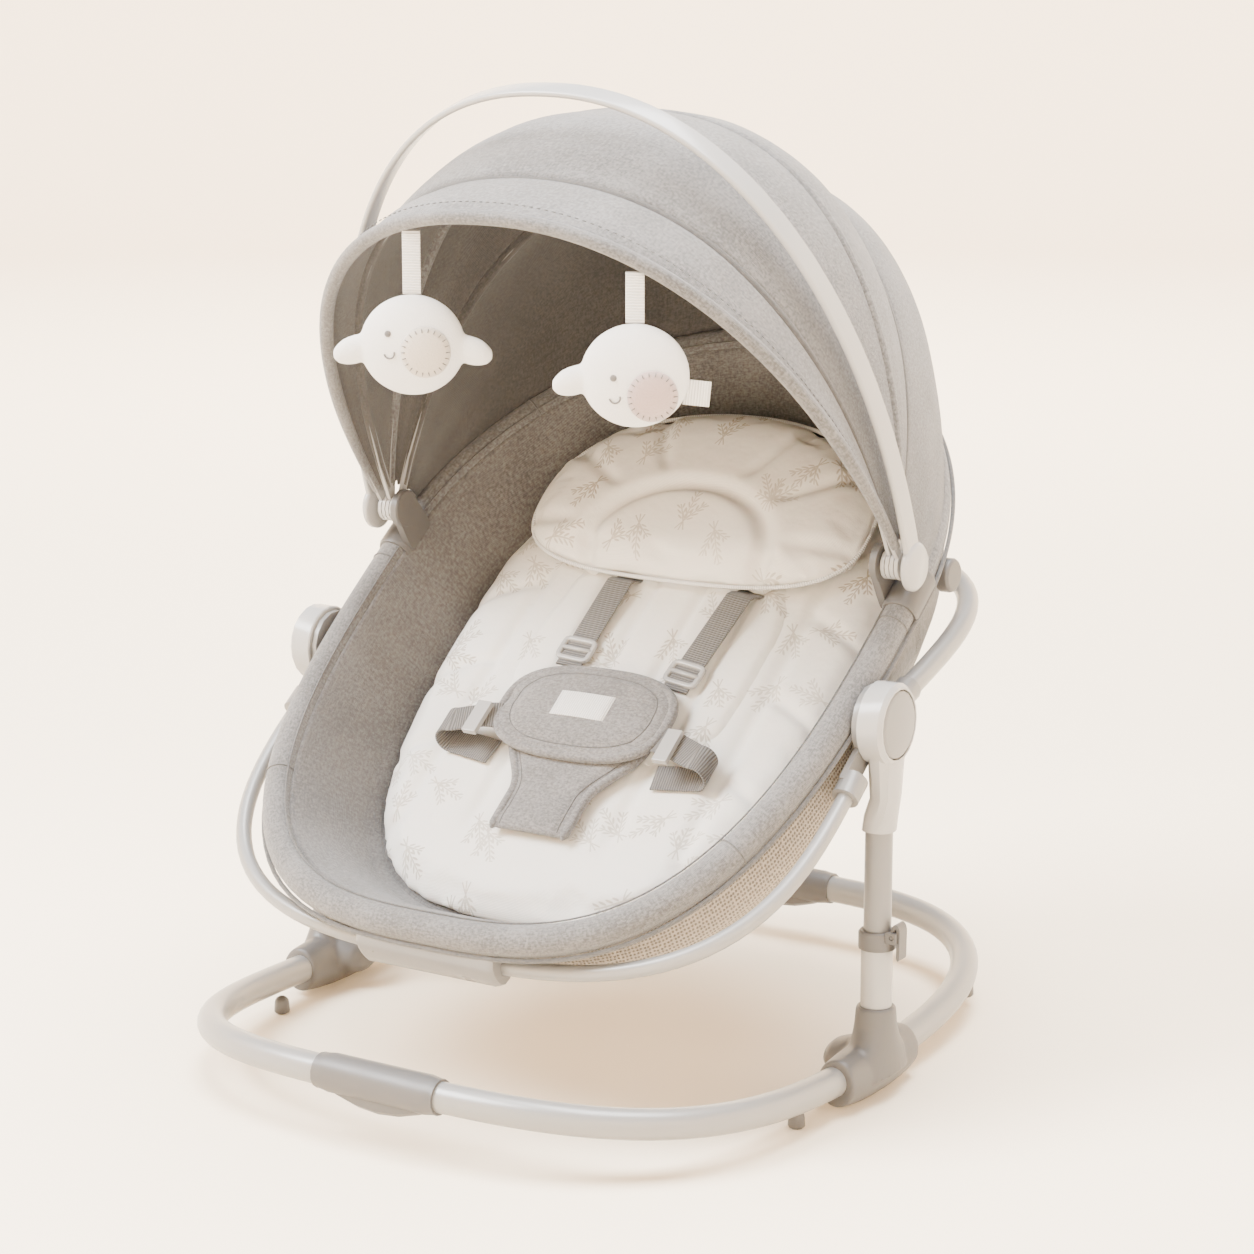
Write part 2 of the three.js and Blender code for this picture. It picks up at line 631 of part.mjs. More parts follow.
function buildSeat() {
  addPart('foot_tube', seatFootTube(FOOT_TUBE.radius), FINISH.paintedTube, seatGroup);
  addPart('head_tube', seatHeadTube(HEAD_TUBE.radius), FINISH.paintedTube, seatGroup);
  addPart('foot_connector', footConnectorShape(), FINISH.lightPlastic, seatGroup);
  addPart('rim_roll', rimRollShape(RIM.roll), FINISH.greyFabric, seatGroup);
  addPart('basket', basketShape(), FINISH.darkFabric, seatGroup);
  addPart('seat_pad', seatPadShape(), FINISH.whiteFabric, seatGroup);
  const pillow = { s: 112, halfWidth: 158, halfLength: 92, bottom: -50.5, top: -14, power: 2.3 };
  addPart('head_pillow', cushionShape(pillow), FINISH.whiteFabric, seatGroup);
  const belly = { x: -4, s: -136, halfWidth: 79, halfLength: 44, bottom: -42.5, top: -31, power: 2.5 };
  addPart('belly_pad', cushionShape(belly), FINISH.greyFabric, seatGroup);
  addPart('crotch_pad', crotchPadShape(), FINISH.greyFabric, seatGroup);
  for (const side of ['left', 'right']) {
    addPart(`shoulder_strap_${side}`, shoulderStrapShape(STRAPS[side]), FINISH.webbing, seatGroup);
    addPart(`strap_slider_${side}`, sliderShape(STRAPS[side]), FINISH.whitePlastic, seatGroup);
  }
  addPairs([
    ['cradle_plate', cradlePlateShape(), FINISH.lightPlastic],
    ['waist_strap', waistStrapShape(), FINISH.webbing],
    ['waist_buckle', buckleShape(), FINISH.whitePlastic],
    ['hinge_bracket', hingeBracketShape(), FINISH.greyPlastic],
    ['rim_knuckle', rimKnuckleShape(), FINISH.greyPlastic],
  ], seatGroup);
}

// ---------- canopy hinge ----------
// Clamp round the rim with an ear on its inner side and the pin that every bow turns on.
function hingeBracketShape() {
  const rim = RIM.halfWidth;
  const clamp = loft([-21, -18, 18, 21].map((s) => {
    const radius = Math.abs(s) > 20 ? 14.6 : 15.6;
    return roundedRing(point(rim, s, 0), X, Z, radius, radius, 2, 14);
  }));
  const ear = turnedAboutX([[228, 0], [228, 15.5], [229.2, 16.8], [234.6, 16.8], [234.6, 0]], 16)
    .translate(0, HINGE_SEAT.s, HINGE_SEAT.n);
  const web = loft([[0, 30], [14, 28], [35, 16.5]].map(([n, halfLength]) => {
    return roundedRing(point(231.3, HINGE_SEAT.s, n), X, Y, 3.3, halfLength, 6, 16);
  }));
  const pin = rodAboutX(HINGE.pinRadius, 230, 261).translate(0, HINGE_SEAT.s, HINGE_SEAT.n);
  const underside = new THREE.BoxGeometry(60, 60, 20).translate(rim, 0, -23.9);
  return cut(join(clamp, ear, web, pin), rimRollShape(RIM.roll + GAP), underside);
}

// Rounded clip under the rim just behind the hinge.
function rimKnuckleShape() {
  const lobe = turnedAboutX([[249.5, 0], [249.5, 12], [251, 14], [260, 14], [262, 12], [262, 0]], 14);
  lobe.translate(0, 46, -22);
  return cut(lobe, rimRollShape(RIM.roll + GAP));
}

// ---------- canopy bows, toy bar and fabric ----------
// Half-oval arch in a flat plane, from the right-hand pivot to the left-hand one.
function archCurve({ halfWidth, height, power }) {
  return new PathCurve((t) => {
    const angle = Math.PI * t;
    const radius = superRadius(angle, halfWidth, height, power);
    return point(radius * Math.cos(angle), radius * Math.sin(angle), 0);
  });
}

function stripSection(width, thickness) {
  const across = width / 2;
  const through = thickness / 2;
  return new THREE.Shape([
    new THREE.Vector2(-across, -through), new THREE.Vector2(across, -through),
    new THREE.Vector2(across, through), new THREE.Vector2(-across, through),
  ]);
}

// Flat strip bent into an arch, with a round eye at each end turning on the hinge pins.
function archShape(arch, width, thickness, eyeRadius, steps, boreEnd) {
  const extrude = { steps, bevelEnabled: false, extrudePath: archCurve(arch) };
  const strip = new THREE.ExtrudeGeometry(stripSection(width, thickness), extrude);
  const half = thickness / 2;
  const eye = rodAboutX(eyeRadius, arch.halfWidth - half, arch.halfWidth + half, 12);
  const bore = rodAboutX(HINGE.pinRadius + GAP, arch.halfWidth - 10, boreEnd, 10);
  const pieces = join(strip, eye, onSide(eye, 'left'));
  return cut(pieces, bore, onSide(bore, 'left'));
}

function buildBows() {
  for (const [name, bow] of Object.entries(BOWS)) {
    const reach = bow.halfWidth + 10;
    const shape = archShape(bow, STRIP.width, STRIP.thickness, HINGE.eyeRadius, ARCH_STEPS, reach);
    addPart(`bow_${name}`, shape, FINISH.whitePlastic, canopyGroup).rotation.x = bow.angle * DEGREE;
  }
  const reach = TOY_BAR.halfWidth + 1.4;
  const bar = archShape(TOY_BAR, TOY_BAR.width, TOY_BAR.thickness, TOY_BAR.disc, ARCH_STEPS + 6, reach);
  addPart('toy_bar', bar, FINISH.whitePlastic, canopyGroup).rotation.x = TOY_BAR.angle * DEGREE;
}

// Point on a bow as [x, distance from the hinge axis, angle about it].
function bowPolar(bow) {
  return (along) => {
    const radius = superRadius(along, bow.halfWidth, bow.height, bow.power);
    return [radius * Math.cos(along), radius * Math.sin(along), bow.angle * DEGREE];
  };
}

// The same for the top of the rim roll round the head end.
function rimPolar(along) {
  const flat = eggPoint(along, RIM.halfWidth, RIM.foot, RIM.head);
  const outward = flat.y - HINGE_SEAT.s;
  const lift = RIM.roll + CLOTH - HINGE_SEAT.n;
  return [flat.x, Math.hypot(outward, lift), SEAT.tilt + Math.atan2(lift, outward)];
}

// Curved sheet of fabric between two edges, swelling outward in the middle by a share of its radius.
function clothPanel(from, to, swell, columns, rows) {
  const margin = STRIP.width / 2 + 1.2;
  const openAngle = 17 * DEGREE;
  const pointAt = (u, v) => {
    const along = openAngle + u * (Math.PI - 2 * openAngle);
    const [x0, r0, a0] = from(along);
    const [x1, r1, a1] = to(along);
    const inset = margin / Math.min(r0, r1);
    const angle = THREE.MathUtils.lerp(a0 - inset, a1 + inset, v);
    const bulge = 1 + swell * Math.sin(Math.PI * v) * Math.sin(along);
    const radius = THREE.MathUtils.lerp(r0, r1, v) * bulge;
    return point(THREE.MathUtils.lerp(x0, x1, v), radius * Math.cos(angle), radius * Math.sin(angle));
  };
  return slab(pointAt, columns, rows, CLOTH);
}

// Sheet of even thickness over a surface given by two parameters.
function slab(pointAt, columns, rows, thickness) {
  const step = 1e-3;
  const rings = [];
  for (let i = 0; i <= columns; i++) {
    const above = [];
    const below = [];
    for (let j = 0; j <= rows; j++) {
      const u = i / columns;
      const v = j / rows;
      const alongU = pointAt(u + step, v).sub(pointAt(u - step, v));
      const alongV = pointAt(u, v + step).sub(pointAt(u, v - step));
      const off = alongU.cross(alongV).normalize().multiplyScalar(thickness / 2);
      above.push(pointAt(u, v).add(off));
      below.unshift(pointAt(u, v).sub(off));
    }
    rings.push([...above, ...below]);
  }
  return loft(rings);
}

function buildCanopyCloth() {
  const front = bowPolar(BOWS.front);
  const second = bowPolar(BOWS.second);
  const middle = bowPolar(BOWS.middle);
  const rear = bowPolar(BOWS.rear);
  addPart('canopy_brow', clothPanel(front, second, 0, 18, 2), FINISH.greyFabric, canopyGroup);
  addPart('canopy_top', clothPanel(second, middle, 0.012, 18, 3), FINISH.greyFabric, canopyGroup);
  addPart('canopy_back', clothPanel(middle, rear, 0.03, 18, 3), FINISH.greyFabric, canopyGroup);
  addPart('canopy_tail', clothPanel(rear, rimPolar, 0.14, 18, 4), FINISH.greyFabric, canopyGroup);
}

// ---------- hanging toys ----------
function toyHeadShape({ x, y, top, strap, ears }) {
  const { halfWidth, halfDepth, halfHeight } = TOY_HEAD;
  const ball = (radius) => new THREE.SphereGeometry(radius, 10, 6);
  const head = ball(1).scale(halfWidth, halfDepth, halfHeight);
  const earShapes = ears.map((sign) => {
    return ball(1).scale(18, 7, 11).rotateY(sign * 0.35).translate(sign * 47, 0, -4);
  });
  return join(head, ...earShapes).translate(x, y, top - strap - halfHeight - GAP);
}

function toyStrapShape({ x, y, top, strap }) {
  return tidy(new THREE.BoxGeometry(14, 2, strap).translate(x, y, top - strap / 2));
}

function buildToys() {
  for (const [side, toy] of Object.entries(TOYS)) {
    addPart(`toy_strap_${side}`, toyStrapShape(toy), FINISH.whiteFabric);
    addPart(`toy_head_${side}`, toyHeadShape(toy), FINISH.plush);
  }
}

buildBase();
buildPosts();
buildSeat();
buildBows();
buildCanopyCloth();
buildToys();

export default bouncer;
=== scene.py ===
"""Looks of the baby bouncer seat: fabric, padding, webbing, plush, plastics and painted tube."""
import json
import math

import bmesh
import bpy
from mathutils import Matrix, Vector, noise
from mathutils.bvhtree import BVHTree


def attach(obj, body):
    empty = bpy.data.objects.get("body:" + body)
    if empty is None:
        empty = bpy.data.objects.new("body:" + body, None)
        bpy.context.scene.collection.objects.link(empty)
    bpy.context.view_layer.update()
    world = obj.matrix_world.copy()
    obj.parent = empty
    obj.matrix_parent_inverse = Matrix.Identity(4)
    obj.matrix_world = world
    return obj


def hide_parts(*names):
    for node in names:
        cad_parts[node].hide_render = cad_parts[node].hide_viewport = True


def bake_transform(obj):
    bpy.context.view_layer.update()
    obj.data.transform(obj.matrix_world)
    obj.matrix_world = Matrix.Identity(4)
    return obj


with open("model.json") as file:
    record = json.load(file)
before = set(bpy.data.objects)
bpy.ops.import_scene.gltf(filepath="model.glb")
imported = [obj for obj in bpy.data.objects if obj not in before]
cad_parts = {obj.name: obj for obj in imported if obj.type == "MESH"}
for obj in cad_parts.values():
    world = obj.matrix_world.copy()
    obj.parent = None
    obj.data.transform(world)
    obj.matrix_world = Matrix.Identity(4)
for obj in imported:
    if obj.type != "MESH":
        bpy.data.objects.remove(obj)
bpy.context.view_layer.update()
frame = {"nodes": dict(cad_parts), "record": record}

# ---------- sizes, in metres, in the shared frame ----------
TILT = math.radians(36.1)                       # slope of the seat's rim plane
SEAT = Matrix.Translation((0, 0.0716, 0.386)) @ Matrix.Rotation(TILT, 4, "X")
OFF = SEAT.to_3x3() @ Vector((0, 0, 1))         # straight off the rim plane
RIM_WIDTH, RIM_FOOT, RIM_HEAD, RIM_ROLL = 0.246, 0.393, 0.276, 0.0125
FOOT_POWER, HEAD_POWER, HEAD_RISE = 3.0, 1.95, 0.38
HINGE = Vector((0, 0.051, 0.4145))              # canopy and toy bar pivot
HUB = Vector((0, -0.016, 0.304))                # recline pivot
HUB_S, HUB_N = -0.1191, -0.0147                 # the hub in the seat's own directions
BASE_WIDTH, BASE_LENGTH, BASE_POWER = 0.261, 0.310, 3.3
RAIL_RADIUS, RAIL_LOW, RAIL_RISE = 0.012, 0.025, 0.025
FOOT_TUBE_RADIUS, HEAD_TUBE_RADIUS = 0.0065, 0.009
SEAM_POINTS = 160                               # points round a seam that goes all round the seat
BOWS = {                                        # angle in degrees, half width, height, power
    "front": (128.5, 0.250, 0.353, 2.25),
    "second": (117.0, 0.242, 0.335, 2.35),
    "middle": (88.5, 0.246, 0.343, 2.35),
    "rear": (69.0, 0.238, 0.306, 2.4),
}
TOY_BAR = (109.0, 0.260, 0.389, 2.2)
SIDES = {"left": -1, "right": 1}


# ---------- shape helpers ----------
def seat_point(x, s, n):
    """A point given across the seat, along its slope and off the rim plane."""
    return SEAT @ Vector((x, s, n))


def super_radius(angle, half_width, half_length, power):
    across = abs(math.cos(angle) / half_width) ** power
    along = abs(math.sin(angle) / half_length) ** power
    return (across + along) ** (-1 / power)


def egg(angle, half_width, foot, head):
    """The seat's outline: squarish at the foot end, rounder at the head end."""
    is_head = math.sin(angle) > 0
    length, power = (head, HEAD_POWER) if is_head else (foot, FOOT_POWER)
    radius = super_radius(angle, half_width, length, power)
    return radius * math.cos(angle), radius * math.sin(angle)


def smooth_step(value):
    t = min(1.0, max(0.0, value))
    return t * t * (3 - 2 * t)


def tub_depth(depth, s):
    """Depth under the rim plane; the deep parts get shallower toward the head end."""
    return depth * (1 - HEAD_RISE * smooth_step(s / RIM_HEAD) * smooth_step(-depth / 0.060))


def arch_point(arch, angle, lift=0.0):
    """A point on a bow's arch about the canopy hinge, lifted outward from it."""
    plane, half_width, height, power = arch
    radius = super_radius(angle, half_width, height, power)
    x, out = radius * math.cos(angle), radius * math.sin(angle)
    length = math.hypot(x, out)
    x, out = x * (1 + lift / length), out * (1 + lift / length)
    turn = math.radians(plane)
    return HINGE + Vector((x, out * math.cos(turn), out * math.sin(turn)))


def steps(count, low=0.0, high=1.0):
    return [low + (high - low) * i / (count - 1) for i in range(count)]


def make_object(name, vertices, faces, uvs=None):
    """A mesh object with smooth faces, faces pointing out and, if given, one uv for each vertex."""
    mesh = bpy.data.meshes.new(name)
    mesh.from_pydata([tuple(v) for v in vertices], [], faces)
    if uvs:
        layer = mesh.uv_layers.new(name="cloth")
        for loop in mesh.loops:
            layer.data[loop.index].uv = uvs[loop.vertex_index]
    work = bmesh.new()
    work.from_mesh(mesh)
    bmesh.ops.recalc_face_normals(work, faces=work.faces)
    work.to_mesh(mesh)
    work.free()
    mesh.polygons.foreach_set("use_smooth", [True] * len(mesh.polygons))
    obj = bpy.data.objects.new(name, mesh)
    bpy.context.scene.collection.objects.link(obj)
    return obj


def running_length(points):
    lengths = [0.0]
    for a, b in zip(points, points[1:]):
        lengths.append(lengths[-1] + (b - a).length)
    return lengths


def surface(name, point_at, columns, rows, wrap=False):
    """A curved sheet from point_at(u, v), with uvs in metres so that a weave keeps its real size."""
    us = [i / columns for i in range(columns if wrap else columns + 1)]
    vs = [j / rows for j in range(rows + 1)]
    points = [[point_at(u, v) for v in vs] for u in us]
    along = running_length([point_at(i / columns, 0.5) for i in range(columns + 1)])
    across = running_length([point_at(0.25, v) for v in vs])
    vertices = [p for column in points for p in column]
    uvs = [(along[i], across[j]) for i in range(len(us)) for j in range(len(vs))]
    width = len(vs)
    faces = []
    for i in range(columns if wrap else len(us) - 1):
        here, after = i * width, ((i + 1) % len(us)) * width
        faces += [(here + j, after + j, after + j + 1, here + j + 1) for j in range(rows)]
    return make_object(name, vertices, faces, uvs)


def turns(count, shift=0.0):
    """Evenly spaced angles once round, moved on by a share of one step."""
    return [2 * math.pi * (i + shift) / count for i in range(count)]


def circle(radius, sides=20):
    return [(radius * math.cos(a), radius * math.sin(a)) for a in turns(sides)]


def rounded_bar(width, thickness, corner=0.35, sides=5):
    """Section of a flat strip with rounded corners."""
    radius = corner * thickness
    points = []
    for k, (sx, sy) in enumerate([(1, 1), (-1, 1), (-1, -1), (1, -1)]):
        for step in steps(sides, 0, math.pi / 2):
            angle = step + k * math.pi / 2
            points.append((
                sx * (width / 2 - radius) + radius * math.cos(angle),
                sy * (thickness / 2 - radius) + radius * math.sin(angle),
            ))
    return points


def ring_faces(count, around, closed=False):
    """Faces between a row of rings, with the two end rings capped unless the row is closed."""
    faces = []
    for i in range(count if closed else count - 1):
        here, after = i * around, ((i + 1) % count) * around
        for j in range(around):
            k = (j + 1) % around
            faces.append((here + j, here + k, after + k, after + j))
    if not closed:
        faces.append(tuple(reversed(range(around))))
        faces.append(tuple(range((count - 1) * around, count * around)))
    return faces


def sweep(name, path, section, up, closed=False, scale=None):
    """A solid swept along points. The section's first number runs across the path, its second along up."""
    count, around = len(path), len(section)
    rings = []
    for i, here in enumerate(path):
        before = path[i - 1] if closed or i > 0 else path[i]
        after = path[(i + 1) % count] if closed or i < count - 1 else path[i]
        along = (after - before).normalized()
        across = along.cross(up).normalized()
        off = across.cross(along).normalized()
        size = scale(i / (count - 1)) if scale else 1.0
        rings.append([here + size * (a * across + b * off) for a, b in section])
    vertices = [p for ring in rings for p in ring]
    lengths = running_length(path)
    girth = running_length([Vector((a, b)) for a, b in section])
    uvs = [(lengths[i], girth[j]) for i in range(count) for j in range(around)]
    faces = ring_faces(count, around, closed)
    return make_object(name, vertices, faces, uvs)


def loft(name, rings):
    """A closed solid through equal rings of points."""
    around = len(rings[0])
    vertices = [p for ring in rings for p in ring]
    return make_object(name, vertices, ring_faces(len(rings), around))


def add_modifier(obj, kind, **settings):
    modifier = obj.modifiers.new(kind.lower(), kind)
    for key, value in settings.items():
        setattr(modifier, key, value)
    return modifier


def apply_modifiers(obj):
    """Bakes every modifier into the mesh."""
    bpy.context.view_layer.update()
    evaluated = obj.evaluated_get(bpy.context.evaluated_depsgraph_get())
    mesh = bpy.data.meshes.new_from_object(evaluated)
    obj.modifiers.clear()
    obj.data = mesh
    mesh.polygons.foreach_set("use_smooth", [True] * len(mesh.polygons))
    return obj


def thicken(obj, thickness, offset=-1.0):
    add_modifier(obj, "SOLIDIFY", thickness=thickness, offset=offset)
    return apply_modifiers(obj)


def subdivide(obj, levels=1):
    add_modifier(obj, "SUBSURF", levels=levels, render_levels=levels)
    return apply_modifiers(obj)


def join(name, *objects):
    """Merges objects into one piece."""
    bpy.ops.object.select_all(action="DESELECT")
    for obj in objects:
        obj.select_set(True)
    bpy.context.view_layer.objects.active = objects[0]
    bpy.ops.object.join()
    objects[0].name = name
    return objects[0]


def place(obj, body, material, replaces=()):
    """Gives a finished piece its material and the body that it moves with."""
    obj.data.materials.clear()
    obj.data.materials.append(material)
    if replaces:
        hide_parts(*replaces)
    if body:
        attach(obj, body)
    return obj


def inflate(obj, voxel=0.005, pressure=4.0, cap=0.010, frames=20):
    """Puffs a closed pad with cloth simulation, held to a cap, as stuffing does."""
    add_modifier(obj, "REMESH", mode="VOXEL", voxel_size=voxel)
    apply_modifiers(obj)
    rest = [v.co.copy() for v in obj.data.vertices]
    cloth = obj.modifiers.new("cloth", "CLOTH")
    cloth.settings.use_pressure = True
    cloth.settings.uniform_pressure_force = pressure
    cloth.settings.effector_weights.gravity = 0
    cloth.settings.quality = 4
    cloth.point_cache.frame_end = frames
    scene = bpy.context.scene
    for number in range(1, frames + 1):
        scene.frame_set(number)
    apply_modifiers(obj)
    scene.frame_set(1)
    for vertex, start in zip(obj.data.vertices, rest):
        move = vertex.co - start
        if move.length > cap:
            vertex.co = start + move.normalized() * cap
    return smooth(obj, 3)


def smooth(obj, repeats):
    add_modifier(obj, "SMOOTH", factor=0.5, iterations=repeats)
    return apply_modifiers(obj)


def press(obj, amount_at):
    """Moves each vertex off the seat plane by amount_at(x, s, n), to sew seams and channels into a pad."""
    inverse = SEAT.inverted()
    for vertex in obj.data.vertices:
        local = inverse @ vertex.co
        vertex.co += OFF * amount_at(*local)
    return obj


def laid_on(obj, points):
    """Points moved across the seat plane's normal onto an object's upper surface."""
    corners = [vertex.co for vertex in obj.data.vertices]
    tree = BVHTree.FromPolygons(corners, [tuple(face.vertices) for face in obj.data.polygons])
    hits = [tree.ray_cast(point + 0.05 * OFF, -OFF)[0] for point in points]
    return [hit or point for hit, point in zip(hits, points)]


def groove(distance, depth, width):
    return -depth * math.exp(-(distance / width) ** 2)


# ---------- material helpers ----------
class Graph:
    """A short way to write shader nodes."""

    def __init__(self, name, color, roughness, metallic=0.0):
        self.material = bpy.data.materials.new(name)
        self.material.use_nodes = True
        self.tree = self.material.node_tree
        self.shader = self.tree.nodes["Principled BSDF"]
        self.set(self.shader, "Base Color", (*color, 1))
        self.set(self.shader, "Roughness", roughness)
        self.set(self.shader, "Metallic", metallic)

    def set(self, node, socket, value):
        if isinstance(value, bpy.types.NodeSocket):
            self.tree.links.new(value, node.inputs[socket])
        else:
            node.inputs[socket].default_value = value

    def add(self, kind, inputs=None, **settings):
        node = self.tree.nodes.new(kind)
        for key, value in settings.items():
            setattr(node, key, value)
        for socket, value in (inputs or {}).items():
            self.set(node, socket, value)
        return node

    def math(self, operation, a, b=0.0, clamp=False):
        node = self.add("ShaderNodeMath", {0: a, 1: b}, operation=operation, use_clamp=clamp)
        return node.outputs[0]

    def coords(self, kind, stretch=(1, 1, 1)):
        source = self.add("ShaderNodeTexCoord").outputs[kind]
        return self.add("ShaderNodeMapping", {"Vector": source, "Scale": stretch}).outputs[0]

    def noise(self, vector, scale, detail=2.0, rough=0.5):
        inputs = {"Vector": vector, "Scale": scale, "Detail": detail, "Roughness": rough}
        return self.add("ShaderNodeTexNoise", inputs).outputs["Fac"]

    def wave(self, vector, pitch, direction):
        """Ridges with the given spacing in metres."""
        inputs = {"Vector": vector, "Scale": math.pi / 10 / pitch, "Distortion": 0.6, "Detail Scale": 1.0}
        return self.add("ShaderNodeTexWave", inputs, bands_direction=direction).outputs["Fac"]

    def ramp(self, value, low, high):
        """0 below low, 1 above high, smooth between."""
        inputs = {"Value": value, "From Min": low, "From Max": high}
        return self.add("ShaderNodeMapRange", inputs, interpolation_type="SMOOTHSTEP").outputs[0]

    def mix(self, factor, a, b):
        node = self.add("ShaderNodeMix", data_type="RGBA")
        self.set(node, 0, factor)
        self.set(node, 6, a if isinstance(a, bpy.types.NodeSocket) else (*a, 1))
        self.set(node, 7, b if isinstance(b, bpy.types.NodeSocket) else (*b, 1))
        return node.outputs[2]

    def bump(self, height, distance, strength=1.0):
        inputs = {"Height": height, "Distance": distance, "Strength": strength}
        normal = self.add("ShaderNodeBump", inputs).outputs[0]
        self.set(self.shader, "Normal", normal)

    def color(self, value):
        self.set(self.shader, "Base Color", value)


def heather_fabric(name, light, dark, coords="UV"):
    """Two-tone melange cloth: short streaks of light and dark yarn over a plain weave."""
    g = Graph(name, light, 0.92)
    g.set(g.shader, "Sheen Weight", 0.25)
    g.set(g.shader, "Sheen Roughness", 0.6)
    place_on = g.coords(coords)
    streaks = g.noise(g.coords(coords, (0.45, 1.0, 1.0)), 620, 3.0, 0.65)
    cross = g.noise(g.coords(coords, (1.0, 0.45, 1.0)), 480, 2.0, 0.6)
    cloudy = g.noise(place_on, 22, 2.0)
    yarn = g.math("ADD", g.math("MULTIPLY", streaks, 0.6), g.math("MULTIPLY", cross, 0.4))
    tone = g.math("ADD", yarn, g.math("MULTIPLY", g.math("SUBTRACT", cloudy, 0.5), 0.22))
    g.color(g.mix(g.ramp(tone, 0.36, 0.66), dark, light))
    weave = g.math("ADD", g.wave(place_on, 0.0011, "X"), g.wave(place_on, 0.0011, "Y"))
    g.bump(g.math("ADD", g.math("MULTIPLY", weave, 0.35), yarn), 0.0009, 0.55)
    return g.material


def leafy_stem(g, x, y, length):
    """One thin stem from the origin along y, with a pair of small leaves every few millimetres."""
    side = g.math("ABSOLUTE", x)
    inside = g.math("MULTIPLY", g.math("GREATER_THAN", y, 0.0), g.math("LESS_THAN", y, length))
    stem = g.math("SUBTRACT", 1.0, g.ramp(side, 0.0003, 0.0008))
    pitch, reach, lean = 0.0058, 0.0024, math.radians(30)
    step = g.math("SUBTRACT", g.math("FLOORED_MODULO", y, pitch), pitch / 2)
    out = g.math("SUBTRACT", side, reach)
    sine, cosine = math.sin(lean), math.cos(lean)
    along = g.math("ADD", g.math("MULTIPLY", out, sine), g.math("MULTIPLY", step, cosine))
    across = g.math("SUBTRACT", g.math("MULTIPLY", out, cosine), g.math("MULTIPLY", step, sine))
    along, across = g.math("DIVIDE", along, 0.0034), g.math("DIVIDE", across, 0.0009)
    round_leaf = g.math("ADD", g.math("MULTIPLY", along, along), g.math("MULTIPLY", across, across))
    leaf = g.math("SUBTRACT", 1.0, g.ramp(round_leaf, 0.5, 1.2))
    leaf = g.math("MULTIPLY", leaf, g.math("GREATER_THAN", y, 0.0125))
    return g.math("MULTIPLY", g.math("MAXIMUM", stem, leaf), inside)


def sprig_mask(g, vector, density):
    """Scattered sprigs: each cell holds three leafy stems that fan out, turned at random."""
    cell_inputs = {"Vector": vector, "Scale": density, "Randomness": 0.9}
    cells = g.add("ShaderNodeTexVoronoi", cell_inputs, voronoi_dimensions="2D")
    spot = cells.outputs["Position"]
    local = g.add("ShaderNodeVectorMath", {0: vector, 1: spot}, operation="SUBTRACT").outputs[0]
    chance = g.add("ShaderNodeSeparateColor", {0: cells.outputs["Color"]}).outputs[0]
    spin = g.math("MULTIPLY", chance, 2 * math.pi)
    sprig = None
    for fan, length in ((-0.45, 0.028), (0.0, 0.042), (0.42, 0.034)):
        angle = g.math("ADD", spin, fan)
        turned = g.add("ShaderNodeVectorRotate", {"Vector": local, "Angle": angle}, rotation_type="Z_AXIS")
        parts = g.add("ShaderNodeSeparateXYZ", {0: turned.outputs[0]}).outputs
        y = g.math("ADD", parts["Y"], 0.010)
        bend = g.math("MULTIPLY", g.math("MULTIPLY", y, y), 8 * fan)
        stem = leafy_stem(g, g.math("SUBTRACT", parts["X"], bend), y, length)
        sprig = stem if sprig is None else g.math("MAXIMUM", sprig, stem)
    return sprig


def printed_cotton(name, ground, ink):
    """Soft white cotton with a faint botanical print."""
    g = Graph(name, ground, 0.9)
    g.set(g.shader, "Sheen Weight", 0.15)
    g.set(g.shader, "Subsurface Weight", 0.05)
    source = g.add("ShaderNodeTexCoord").outputs["Object"]
    turn_inputs = {"Vector": source, "Angle": -TILT}
    flat = g.add("ShaderNodeVectorRotate", turn_inputs, rotation_type="X_AXIS").outputs[0]
    drift = g.noise(flat, 9, 1.0)
    sprigs = g.math("MAXIMUM", sprig_mask(g, flat, 15.0), sprig_mask(g, flat, 11.0))
    fade = g.math("MULTIPLY", sprigs, g.math("ADD", g.math("MULTIPLY", drift, 0.9), 0.15))
    shade = g.mix(g.math("MULTIPLY", g.noise(flat, 60, 3.0), 0.25), ground, tuple(0.93 * c for c in ground))
    g.color(g.mix(fade, shade, ink))
    weave = g.math("ADD", g.wave(flat, 0.0009, "X"), g.wave(flat, 0.0009, "Y"))
    wrinkle = g.noise(flat, 45, 3.0, 0.6)
    g.bump(g.math("ADD", g.math("MULTIPLY", weave, 0.10), g.math("MULTIPLY", wrinkle, 1.2)), 0.0022, 0.5)
    return g.material


def webbing(name, light, dark):
    """Ribbed polyester tape: fine ribs across its length."""
    g = Graph(name, light, 0.75)
    g.set(g.shader, "Sheen Weight", 0.1)
    place_on = g.coords("UV")
    ribs = g.wave(place_on, 0.0021, "X")
    yarn = g.noise(place_on, 900, 2.0)
    tone = g.math("ADD", g.math("MULTIPLY", ribs, 0.75), g.math("MULTIPLY", yarn, 0.35))
    g.color(g.mix(g.ramp(tone, 0.2, 0.9), dark, light))
    g.bump(tone, 0.0008, 0.8)
    return g.material


def plush(name, color):
    """Short soft pile."""
    g = Graph(name, color, 1.0)
    g.set(g.shader, "Sheen Weight", 0.5)
    g.set(g.shader, "Sheen Roughness", 0.7)
    place_on = g.coords("Object")
    pile = g.noise(place_on, 700, 3.0, 0.7)
    lumps = g.noise(place_on, 60, 2.0)
    g.color(g.mix(g.math("MULTIPLY", pile, 0.35), color, tuple(0.86 * c for c in color)))
    g.bump(g.math("ADD", pile, lumps), 0.0013, 0.55)
    return g.material


